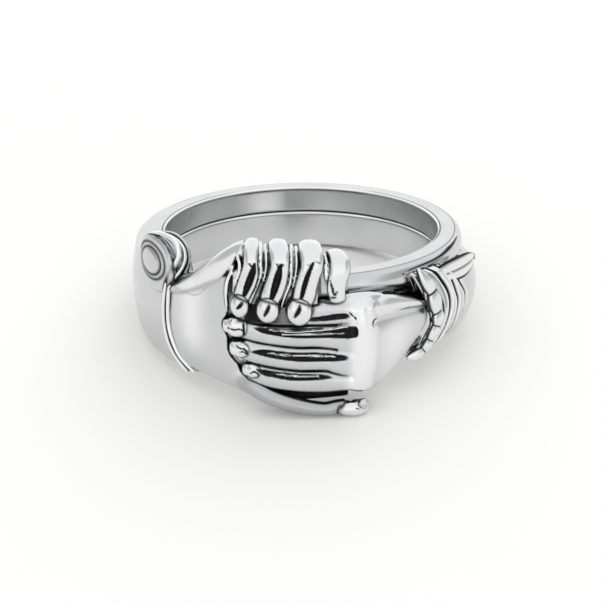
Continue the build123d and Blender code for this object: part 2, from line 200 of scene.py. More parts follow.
def rod(path, across, radii, profile, capRows=5):
    # a profile carried along a path: across is the direction of the profile's first axis, radii
    # its two half sizes at each point, and both ends close in a quarter ellipse
    step = unit(np.gradient(path, axis=0))
    side = unit(across - step * np.sum(across * step, axis=1)[:, None])
    up = np.cross(step, side)
    turn = np.linspace(0.15, math.pi / 2, capRows + 1)[:-1]
    shrink, reach = np.sin(turn)[:, None], np.cos(turn)[:, None]
    first, last = np.zeros(capRows, int), np.full(capRows, len(path) - 1)
    order = np.concatenate([first, np.arange(len(path)), last])
    push = np.concatenate([-reach * radii[0].min(), np.zeros((len(path), 1)),
                           reach[::-1] * radii[-1].min()])
    size = np.concatenate([radii[first] * shrink, radii, radii[last] * shrink[::-1]])
    centre = path[order] + step[order] * push
    points = (centre[:, None] + side[order][:, None] * (profile[None, :, :1] * size[:, None, :1])
              + up[order][:, None] * (profile[None, :, 1:] * size[:, None, 1:]))
    rows, columns = points.shape[:2]
    return closed(points.reshape(-1, 3), gridFaces(rows, columns), rows, columns)


# Solids from fields: a field gives the distance to a surface, negative inside.

def blend(a, b, k):    # both solids, with a fillet of about k where they meet
    h = np.clip(0.5 + 0.5 * (b - a) / k, 0, 1)
    return b + (a - b) * h - k * h * (1 - h)


def without(a, b, k):    # the first solid less the second
    return -blend(-a, b, k)


def within(*fields, k=0.3):    # inside all of them, with its edges rounded by about k
    out = fields[0]
    for other in fields[1:]:
        out = -blend(-out, -other, k)
    return out


def strand(rows, across, power=2.0, steps=140):
    # a finger-like solid: rows of x, distance from the rivet, height, half width, half thickness
    rows, across = np.array(rows, float), np.array(across, float)
    fine, length = evenly(rows, rows[:, :3], steps)
    centre, half = fine[:, :3], fine[:, 3:]
    step = unit(np.gradient(centre, axis=0))
    side = unit(across - step * (step @ across)[:, None])
    reach = half.max()
    return {"centre": centre, "step": step, "side": side, "up": np.cross(step, side), "half": half,
            "power": power, "low": centre.min(axis=0) - reach, "high": centre.max(axis=0) + reach,
            "gap": length / (steps - 1)}


def strandField(s, p, reach=1.0, batch=60000):
    # the nearest place on the strand's line, then the distance to the ellipse there; further away
    # than reach, the distance to the strand's box will do
    out = np.maximum(s["low"] - p, p - s["high"]).max(axis=1)
    near = np.flatnonzero(out < reach)
    if not len(near):
        return out
    q = p[near].astype(np.float32)
    c = s["centre"].astype(np.float32)
    nearest = np.empty(len(q), int)
    for i in range(0, len(q), batch):
        nearest[i:i + batch] = np.argmin((c * c).sum(axis=1) - 2 * q[i:i + batch] @ c.T, axis=1)
    q = p[near]
    along = np.sum((q - s["centre"][nearest]) * s["step"][nearest], axis=1) / s["gap"]
    at = np.clip(nearest + along, 0, len(c) - 1.000001)
    i = at.astype(int)
    t = (at - i)[:, None]
    mix = {key: between(s[key][i], s[key][i + 1], t) for key in ("centre", "step", "side", "up", "half")}
    tip = mix["half"].min(axis=1)
    sizes = np.column_stack([mix["half"], tip])
    d = q - mix["centre"]
    parts = np.stack([np.sum(d * mix[key], axis=1) for key in ("side", "up", "step")], axis=-1)
    parts = np.abs(parts / sizes)
    out[near] = ellipseDistance((parts ** s["power"]).sum(axis=1) ** (1 / s["power"]), parts / sizes, tip)
    return out


def ellipseDistance(k, steep, least):
    # from the share of the way out and its slope; least is the smallest half size
    steep = np.linalg.norm(steep, axis=1) + 1e-6
    return np.where(k < 0.05, -least, (k - 1) * np.maximum(k, 0.05) / steep)


def ball(p, centre, half):    # an ellipsoid
    q = (p - centre) / half
    return ellipseDistance(np.linalg.norm(q, axis=1), q / half, min(half))


def solidField(solid, p):    # a strand is given by its table, an ellipsoid by its centre and half sizes
    return strandField(solid, p) if isinstance(solid, dict) else ball(p, *solid)


def nearestOf(solids, p):
    return np.min([solidField(solid, p) for solid in solids], axis=0)


def added(out, solids, k, p):    # the solids joined on one after another
    for solid in solids:
        out = blend(out, solidField(solid, p), k)
    return out


def taken(out, solids, k, p):    # the solids cut away one after another
    for solid in solids:
        out = without(out, solidField(solid, p), k)
    return out


def slope(field, p, e=0.012):    # the field's gradient, by differences
    out = np.empty_like(p)
    for axis in range(3):
        move = np.zeros(3)
        move[axis] = e
        out[:, axis] = (field(p + move) - field(p - move)) / (2 * e)
    return out


def skin(field, low, high, cell, block=8, batch=200000):
    # a closed mesh of four-cornered faces over the field's zero: the field is worked out on a
    # grid near the surface, each grid box that the surface crosses gets one point at the middle
    # of its crossings, and each grid edge that it crosses gets a face. Two steps along the
    # gradient then put the points on the surface.
    low = np.array(low, float)
    count = np.ceil((np.array(high) - low) / cell / block).astype(int)
    size = count * block + 1
    middle = [low[a] + (np.arange(count[a]) + 0.5) * block * cell for a in range(3)]
    centres = np.stack(np.meshgrid(*middle, indexing="ij"), axis=-1).reshape(-1, 3)
    rough = field(centres).reshape(count)

    def spread(coarse):    # each block's value for all its boxes
        return coarse.repeat(block, 0).repeat(block, 1).repeat(block, 2)

    values = np.ones(size, np.float32)
    values[:-1, :-1, :-1] = np.sign(spread(rough))
    busy = spread(np.abs(rough) < block * cell * 1.35)
    wanted = np.zeros(size, bool)
    corners, ends = list(np.ndindex(2, 2, 2)), [slice(None, -1), slice(1, None)]
    for i, j, k in corners:
        wanted[ends[i], ends[j], ends[k]] |= busy
    at = np.argwhere(wanted)
    for i in range(0, len(at), batch):
        part = at[i:i + batch]
        values[tuple(part.T)] = field(low + part * cell)
    inside = values < 0
    total = sum(inside[ends[i], ends[j], ends[k]].astype(np.uint8) for i, j, k in corners)
    cells = np.argwhere((total > 0) & (total < 8))
    v = np.stack([values[tuple((cells + corner).T)] for corner in corners], axis=-1)
    points, hits = np.zeros((len(cells), 3)), np.zeros(len(cells))
    for a, corner in enumerate(corners):
        for axis, other in ((0, 4), (1, 2), (2, 1)):
            if not corner[axis]:
                va, vb = v[:, a], v[:, a + other]
                crossed = (va < 0) != (vb < 0)
                spot = np.tile(np.array(corner, float), (len(cells), 1))
                spot[:, axis] += np.where(crossed, va / np.where(crossed, va - vb, 1), 0)
                points += spot * crossed[:, None]
                hits += crossed
    points = low + (cells + points / hits[:, None]) * cell
    number = np.full(size - 1, -1)
    number[tuple(cells.T)] = np.arange(len(cells))
    faces = []
    for axis in range(3):
        others = [(axis + 1) % 3, (axis + 2) % 3]
        start, stop = (inside[tuple(end if a == axis else slice(None) for a in range(3))] for end in ends)
        edge = np.argwhere(start != stop)
        across = edge[:, others]
        edge = edge[((across > 0) & (across < size[others] - 1)).all(axis=1)]
        quad = []
        for step in ((1, 1), (0, 1), (0, 0), (1, 0)):
            at = edge.copy()
            at[:, others] -= step
            quad.append(number[tuple(at.T)])
        quad = np.stack(quad, axis=-1)
        faces.append(np.where(start[tuple(edge.T)][:, None], quad, quad[:, ::-1]))
    for _ in range(2):
        g = slope(field, points)
        move = -g * (field(points) / np.maximum((g * g).sum(axis=1), 0.1))[:, None]
        points += np.clip(move, -cell * 0.6, cell * 0.6)
    return points, np.concatenate(faces)


class Value:    # a shader socket that Python's operators work on
    tree = None

    def __init__(self, socket):
        self.socket = socket

    @classmethod
    def node(cls, kind, settings=None, out=0, **inputs):
        node = cls.tree.nodes.new(kind)
        for key, value in (settings or {}).items():
            if key == "stops":
                ramp = node.color_ramp
                while len(ramp.elements) < len(value):
                    ramp.elements.new(0.5)
                for element, (place, grey) in zip(ramp.elements, value):
                    element.position, element.color = place, (grey, grey, grey, 1)
            else:
                setattr(node, key, value)
        for key, value in inputs.items():
            socket = node.inputs[int(key[1:]) if key[1:].isdigit() else key.replace("_", " ")]
            if isinstance(value, Value):
                cls.tree.links.new(value.socket, socket)
            else:
                socket.default_value = value
        return cls(node.outputs[out]) if len(node.outputs) else None

    def math(self, operation, other=None, clamp=False):
        extra = {} if other is None else {"i1": other}
        return Value.node("ShaderNodeMath", {"operation": operation, "use_clamp": clamp}, i0=self, **extra)

    def __add__(self, other):
        return self.math("ADD", other)

    def __mul__(self, other):
        return self.math("MULTIPLY", other)

    def __sub__(self, other):
        return self.math("SUBTRACT", other)


def mixed(factor, a, b):
    return Value.node("ShaderNodeMix", {"data_type": "RGBA"}, out=2, i0=factor, i6=a, i7=b)


silverLook = {
    "bright": (0.62, 0.625, 0.63, 1),
    "cloudy": (0.55, 0.56, 0.57, 1),      # faint clouding, at the scale of a few millimetres
    "rubbed": (0.93, 0.935, 0.94, 1),     # painted highlight on rims, raised lines, knuckles, tips and broad patches
    "tarnishAndShadeColour": (0.016, 0.016, 0.018, 1),    # blackened silver in the recesses, and painted shade in gaps, on flanks and undersides
    "roughness": 0.17, "cloudRoughness": 0.06, "tarnishAndShadeRoughness": 0.34,
    "cloudScale": 420.0, "cloudFrom": 0.38, "cloudTo": 0.68, "cloudShare": 0.55, "markGrain": 0.12,
    "grainScale": 5200.0, "grainHeight": 0.035, "grainDistance": 0.00001,
}


def silver(name, tarnish):
    look = silverLook
    material = bpy.data.materials.new(name)
    material.use_nodes = True
    tree = material.node_tree
    tree.nodes.clear()
    Value.tree = tree
    place = Value.node("ShaderNodeTexCoord", out=3)
    cloud = Value.node("ShaderNodeTexNoise", Vector=place, Scale=look["cloudScale"], Detail=3.0)
    cloud = Value.node("ShaderNodeMapRange", i0=cloud, i1=look["cloudFrom"], i2=look["cloudTo"])
    grain = Value.node("ShaderNodeTexNoise", Vector=place, Scale=look["grainScale"], Detail=4.0)
    colour = mixed(cloud * look["cloudShare"], look["bright"], look["cloudy"])
    roughness = cloud * look["cloudRoughness"] + look["roughness"]
    if tarnish:
        # painted highlight from the first attribute
        rubbed = Value.node("ShaderNodeAttribute", {"attribute_name": "rubbed"}, out=2)
        colour = mixed(rubbed, colour, look["rubbed"])
        # blackened silver in grooves together with painted shade, from the second attribute
        mark = Value.node("ShaderNodeAttribute", {"attribute_name": "tarnish"}, out=2)
        mark = (mark + (grain - 0.5) * look["markGrain"] * mark).math("MULTIPLY", 1.0, clamp=True)
        colour = mixed(mark, colour, look["tarnishAndShadeColour"])
        roughness = roughness + mark * look["tarnishAndShadeRoughness"]
    bump = Value.node("ShaderNodeBump", Strength=look["grainHeight"], Height=grain,
                      Distance=look["grainDistance"])
    shader = Value.node("ShaderNodeBsdfPrincipled", Metallic=1.0, Base_Color=colour,
                        Roughness=roughness, Normal=bump)
    Value.node("ShaderNodeOutputMaterial", Surface=shader)
    return material


polished = silver("polishedSilver", True)
plainSilver = silver("rivetSilver", False)
for place in frame["nodes"]["rivet"].material_slots:
    place.link = "OBJECT"
    place.material = plainSilver
print("silver made")


# A hoop is one closed grid: its rows stand round the ring, and each row is a closed section. The
# section's corners are joined by straight runs and one bowed run, the outer wall, which stands out
# to the crown in its middle and falls off with the square of the way from there; then the loop is
# eased twice, each point becoming half itself and a quarter of each neighbour. Along a sleeve the
# corners move out and down.

upperHoop = {
    "wall": (8.65, 10.20), "height": (2.47, 4.15), "flat": 9.78,
    # angle, growth outwards, fall below the hoop, slope of the top
    "sleeve": [
        (-180, 0, 0, 0.05), (-140, 0, 0, 0.05), (-116, 0.35, 0.38, 0.14), (-91, 0.88, 0.75, 0.28),
        (-70, 1.0, 0.89, 0.32), (-57, 1.0, 0.965, 0.30), (-46, 0.97, 1.0, 0.28), (-45.7, 0.97, 1.0, 0.28)],
    "thick": 0.66, "fall": 4.98, "skirt": 9.92, "shoulderFrom": 9.04, "shoulderShare": 0.80,
    # how far the cuff's edge runs ahead of its angle at each height
    "edge": [(-2.6, 8.6), (-2.0, 6.6), (-1.15, 2.1), (0.0, -0.4), (1.28, -1.05), (2.6, -0.7), (4.2, -0.5)],
    "cuff": -46.0,
    # the dark lines beside the pipings, as height and angle
    "lines": [
        [(-2.3, -42.1), (-2.09, -43.57), (-1.68, -45.83), (-1.15, -48.15), (-0.64, -49.5), (0.16, -50.4),
         (0.79, -50.7), (1.78, -50.4), (2.79, -49.45), (3.58, -47.9), (3.9, -46.9)],
        [(-2.4, -39.4), (-2.06, -41.25), (-1.65, -43.42), (-1.04, -45.64), (-0.53, -46.97), (0.27, -47.98),
         (0.9, -48.32), (1.88, -48.1), (2.9, -47.4), (3.42, -46.6), (3.9, -45.6)],
        [(-2.3, -36.8), (-2.06, -38.3), (-1.83, -40.41), (-1.44, -43.01), (-0.87, -44.74), (-0.17, -46.2),
         (0.96, -46.98), (1.74, -46.9), (2.59, -46.5), (3.12, -46.0), (3.6, -44.2)],
    ],
    "lineWidth": 0.27,
    # where things start and end round the hoop, each a start and a width: the cuff's edge, the dip
    # of the top that the palm hides, the bold line, and the lines at the two sides
    "edgeEnds": ((-96, 50), (-33, -12)), "dip": 1.05, "dipEnds": ((-51, 2.5), (-16, -8)),
    "boldEnds": ((36, 4), (80, -4)), "sides": ((62, 12), (155, -12)),
    # painted shade: the bold dark line under the outer bevel at the right: angle, height, half width
    "bold": [(36, 3.75, 0.03), (44, 3.84, 0.04), (54, 3.87, 0.05), (60, 3.91, 0.07), (66, 3.97, 0.08),
             (72, 4.0, 0.05), (80, 4.02, 0.03)],
    # painted highlight and painted shade on the inner wall round the ring: angle from the front, share
    "paintedWallHighlight": [
        (0, 0.1), (90, 0.0), (145, 0.0), (165, 0.2), (180, 0.35), (196, 0.6), (206, 0.1), (215, 0.0),
        (360, 0.1)],
    "shade": [
        (0, 0.1), (90, 0.30), (116, 0.28), (136, 0.26), (155, 0.10), (170, 0.0), (200, 0.0), (212, 0.22),
        (227, 0.10), (245, 0.28), (270, 0.30), (360, 0.1)],
}
lowerHoop = {
    "wall": (8.65, 9.80), "height": (0.0, 2.42), "flat": 9.60,
    # angle, top, bottom, crown
    "sleeve": [
        (43.2, 3.72, -1.45, 11.10), (50, 3.74, -1.36, 11.22), (57, 3.70, -1.16, 11.27),
        (70, 3.19, -0.84, 11.30), (81, 2.66, -0.60, 11.16), (92, 2.46, -0.36, 10.78),
        (101, 2.43, -0.18, 10.40), (114, 2.42, -0.05, 9.98), (125, 2.42, 0.0, 9.80)],
    "lip": (0.0, 0.12, 0.3), "rounding": (0.07, 0.03, 0.01),    # angle steps of the mouth's edge
    "edgeEnd": (82, -24), "sides": ((55, 12), (165, -15)),    # each a start and a width, in degrees
    "room": 10.32, "shoulderFrom": 9.04, "shoulderShare": 0.84,
    "mouth": [(0.0, 4.5), (0.35, 4.5), (0.70, 4.5), (0.78, 4.2), (0.80, 0.9), (0.84, 0.2), (0.92, 0.0)],
    "edge": [(-1.5, -5.5), (-1.06, -3.6), (-0.6, -2.4), (-0.3, -2.8), (-0.05, -3.6), (0.25, -1.8),
             (0.7, -0.3), (1.2, 0.0), (1.75, -0.3), (2.4, -2.0), (3.1, -4.0), (3.9, -6.0)],
    # the dark lines of the gathers and beside the beads: width in degrees, depth, darkness, then
    # height and angle
    "gathers": [
        (0.26, 0.05, 1.0, [
            (-1.30, 35.0), (-0.93, 39.9), (-0.44, 41.7), (0.02, 42.9), (0.35, 44.0), (0.87, 43.9),
            (1.58, 42.7), (2.20, 41.7), (2.87, 40.9), (3.49, 39.8)]),
        (0.42, 0.10, 0.95, [
            (-1.46, 42.4), (-1.02, 45.5), (-0.65, 46.9), (-0.01, 48.4), (0.44, 49.6), (0.86, 50.0),
            (1.40, 49.6), (1.99, 48.2), (2.88, 44.7), (3.79, 41.4)]),
        (0.36, 0.06, 0.45, [(0.9, 51.3), (1.58, 50.9), (2.39, 49.2), (3.16, 46.6), (3.77, 43.2)]),
        (0.62, 0.20, 1.0, [
            (-1.3, 45.2), (-1.12, 47.1), (-0.52, 50.1), (0.21, 52.2), (1.19, 53.2), (1.94, 52.45),
            (2.87, 49.6), (3.61, 46.4), (3.92, 44.0)]),
        (0.55, 0.18, 1.0, [
            (-0.95, 50.4), (-0.47, 54.9), (0.36, 57.3), (1.18, 57.8), (1.92, 56.4), (2.88, 54.1),
            (3.11, 53.3), (3.49, 51.2), (3.86, 49.0)]),
        (0.50, 0.16, 0.95, [
            (0.1, 61.6), (0.8, 62.8), (1.42, 62.4), (2.1, 59.9), (3.13, 55.7), (3.72, 51.9)]),
    ],
    "roll": 0.06,
}


def run(a, b, count):    # count points from a towards b, b left out; a and b are (rows, 2)
    return between(a[:, None], b[:, None], np.linspace(0, 1, count, endpoint=False)[None, :, None])


def bowed(a, b, crown, count):    # from a to b, bowed out to the crown's radius in the middle
    t = np.linspace(-1, 1, count, endpoint=False)
    line = run(a, b, count)
    line[..., 0] += (crown - (a[:, 0] + b[:, 0]) / 2)[:, None] * (1 - t ** 2)
    return line


def sectionLoop(rows, *corners):
    # each corner is its radius and height, the count of points up to the next one and, where that
    # run is bowed, its crown's radius
    same = np.zeros(rows)
    spots = [np.stack([radius + same, height + same], axis=-1) for radius, height, *_ in corners]
    runs = [bowed(a, b, crown[0], count) if crown else run(a, b, count)
            for a, b, (_, _, count, *crown) in zip(spots, spots[1:] + spots[:1], corners)]
    loop = np.concatenate(runs, axis=1)
    for _ in range(2):
        loop = (loop * 2 + np.roll(loop, 1, axis=1) + np.roll(loop, -1, axis=1)) / 4
    return loop


def makeUpperHoop():
    h = upperHoop
    cuff = h["cuff"]
    angle = np.concatenate([np.arange(-180, cuff - 12, 1.0), np.arange(cuff - 12, cuff + 1, 0.14),
                            np.arange(cuff + 1, 180, 1.0)])
    growth, fall, top = curve(h["sleeve"], angle).T
    here = (angle <= cuff) & (angle > h["sleeve"][1][0])
    growth, fall = np.clip(growth, 0, None) * here, np.clip(fall, 0, None) * here
    on = smooth(growth / 0.45)
    (inner, outer), (low, high) = h["wall"], h["height"]
    crown = outer + h["thick"] * growth
    shoulder = between(h["flat"], h["shoulderFrom"] + (crown - h["shoulderFrom"]) * h["shoulderShare"], on)
    bottom = low - h["fall"] * fall
    dip = h["dip"] * window(angle, *h["dipEnds"])
    edge = high - (shoulder - 9.1) * top * on - dip * (1 - on)
    loop = sectionLoop(
        len(angle), (inner, low, 22), (inner, high - 0.12 - dip, 5), (inner + 0.11, high - dip, 36),
        (shoulder, edge, 6),
        (between(outer - 0.16, shoulder + 0.06, on), between(high - 0.20 - dip, edge - 0.14, on), 46, crown),
        (shoulder + 0.05 * on, bottom + 0.10 * on, 6), (between(9.5, h["skirt"], on), bottom, 16),
        (between(9.2, h["skirt"], on), low, 10))
    radius, height = loop[..., 0], loop[..., 1]
    weight = window(angle, *h["edgeEnds"])
    turn = angle[:, None] + lineAt(h["edge"], height) * weight[:, None]
    # tarnish: the line between the hoops, the crease of the top, the lines beside the pipings
    marks = [bell(height - low, 0.10) * (radius < 10.3) * 0.8,
             0.75 * bell(radius - h["flat"] + 0.02, 0.035) * (height > high - 0.08) * (1 - on[:, None])]
    marks += [smooth(1.3 * bell(turn - lineAt(line, height), h["lineWidth"])) * (radius > 10.4)
              for line in h["lines"]]
    # painted shade line under the outer bevel
    middle, half = np.moveaxis(curve(h["bold"], np.abs(turn)), -1, 0)
    marks.append(smooth(1.6 - np.abs(height - middle) / half) * (radius > 9.95)
                 * window(turn, *h["boldEnds"]))
    # the inner top edge: a painted shade line on the top beside its bevel, which gets a painted highlight,
    # and at the back a painted shade line under it
    sides = window(np.abs(angle), *h["sides"])[:, None]
    marks.append(0.95 * bell(radius - inner - 0.19, 0.045) * (height > high - 0.06) * sides)
    marks.append(0.95 * bell(height - high + 0.18, 0.075) * (radius < inner + 0.06) * (1 - 0.6 * sides))
    # painted shade and painted highlight on the inner wall by angle, and a painted highlight on the inner
    # top bevel
    wall = smooth((inner + 0.08 - radius) / 0.04)
    marks.append(wall * lineAt(h["shade"], turn % 360))
    bevel = smooth((height - high + 0.12) / 0.04) * smooth((inner + 0.15 - radius) / 0.04)
    rubbed = np.maximum(wall * lineAt(h["paintedWallHighlight"], turn % 360), bevel * 0.9)
    makePiece("upperHoop", fromAxis(turn, radius, height).reshape(-1, 3),
              gridFaces(len(angle), loop.shape[1], closedRows=True), upper,
              np.maximum.reduce(marks), rubbed)


def makeLowerHoop():
    h = lowerHoop
    start = h["sleeve"][0][0]
    mouth = np.array(h["mouth"])    # share of the way out to the sleeve, then depth
    angle = np.concatenate([np.arange(-180, start - 0.3, 1.0), np.full(len(mouth), start),
                            start + np.array(h["lip"]), np.arange(start + 0.45, 64, 0.14),
                            np.arange(64, 180, 1.0)])
    first = np.flatnonzero(angle == start)[0]
    after = first + len(mouth)
    share, depth, rounding = np.ones(len(angle)), np.zeros(len(angle)), np.zeros(len(angle))
    share[:first] = 0
    share[first:after], depth[first:after] = mouth.T
    rounding[after:after + len(h["rounding"])] = h["rounding"]
    top, bottom, crown = curve(h["sleeve"], angle).T
    crown -= rounding
    (inner, outer), (low, high) = h["wall"], h["height"]
    on = smooth((crown - outer) / 0.5) * (angle >= start) * (angle < h["sleeve"][-1][0])
    crown = np.where(on > 0, crown, outer)
    rise = np.maximum(np.where(on > 0, top - rounding, high) - high, 0.0)
    bottom = np.where(on > 0, bottom + rounding, low)
    up = smooth(rise / 0.5) * on
    shoulder = between(h["flat"], h["shoulderFrom"] + (crown - h["shoulderFrom"]) * h["shoulderShare"], on)

    def section(on, up, rise, room, shoulder, crown, bottom):
        return sectionLoop(
            len(angle), (inner, low, 20), (inner, high - 0.15, 5), (inner + 0.12, high, 12),
            (room, high, 12), (room, high + rise, 8),
            (shoulder, np.maximum(high, high + rise - 0.16 * up), 60, crown),
            (shoulder, bottom + 0.12 * on, 10), (between(9.2, 9.3, on), bottom + 0.02 * on, 8))

    bare = section(0, 0, 0, 9.3, h["flat"], outer, low)
    full = section(on, up, rise, between(9.3, h["room"], up), shoulder, crown, bottom)
    loop = bare + (full - bare) * share[:, None, None]
    radius, height = loop[..., 0], loop[..., 1]
    apart = np.linalg.norm(full[after] - bare[0], axis=-1)[None, :]
    weight = ramp(angle, *h["edgeEnd"]) * (angle >= start)
    turn = angle[:, None] + lineAt(h["edge"], height) * weight[:, None] * smooth(apart / 0.7)
    turn = turn + depth[:, None] * smooth(apart / 0.5)
    # painted highlight on the inner top bevel, stronger at the sides, and a fainter one on the inner wall
    bevel = smooth((height - high + 0.17) / 0.04) * smooth((inner + 0.11 - radius) / 0.04)
    tarnish = bell(height - high, 0.10) * (radius < 10.2) * 0.8 * (1 - bevel)
    side = window(np.abs(angle), *h["sides"])[:, None]
    wall = smooth((inner + 0.08 - radius) / 0.04) * 0.3
    rubbed = np.maximum(bevel * (0.4 + 0.6 * side), wall)
    # the gathers: each line is a narrow valley, a fall of the bell curve's shape, beside a roll, which gets
    # a painted highlight
    outside = ramp(radius, 9.9, 0.5) * ((angle >= start) & (share == 1))[:, None]
    for width, deep, dark, line in h["gathers"]:
        here = outside * smooth((height - line[0][0]) / 0.5)
        off = turn - lineAt(line, height)
        valley = bell(off, width) * here
        roll = bell(np.abs(off) - 2.2 * width, 1.1 * width) * here * ramp(deep, 0.08, 0.1)
        radius += h["roll"] * roll - deep * valley
        tarnish = np.maximum(tarnish, dark * ramp(valley, 0.12, 0.40))
        rubbed = np.maximum(rubbed, roll)
    # painted shade on the sleeve's mouth, standing in for the hollow's shade
    tarnish = np.maximum(tarnish, np.clip(depth[:, None] / 2, 0, 1) * smooth(apart / 0.5))
    makePiece("lowerHoop", fromAxis(turn, radius, height).reshape(-1, 3),
              gridFaces(len(angle), loop.shape[1], closedRows=True), lower, tarnish, rubbed * 0.8)


# Each hand is one solid from fields, laid out in the clasp's own measures: x across, distance
# from the rivet, height. The palm is bounded by walls that change round the ring; fingers, thumbs
# and folds are strands joined to it with small fillets; grooves are strands taken away.

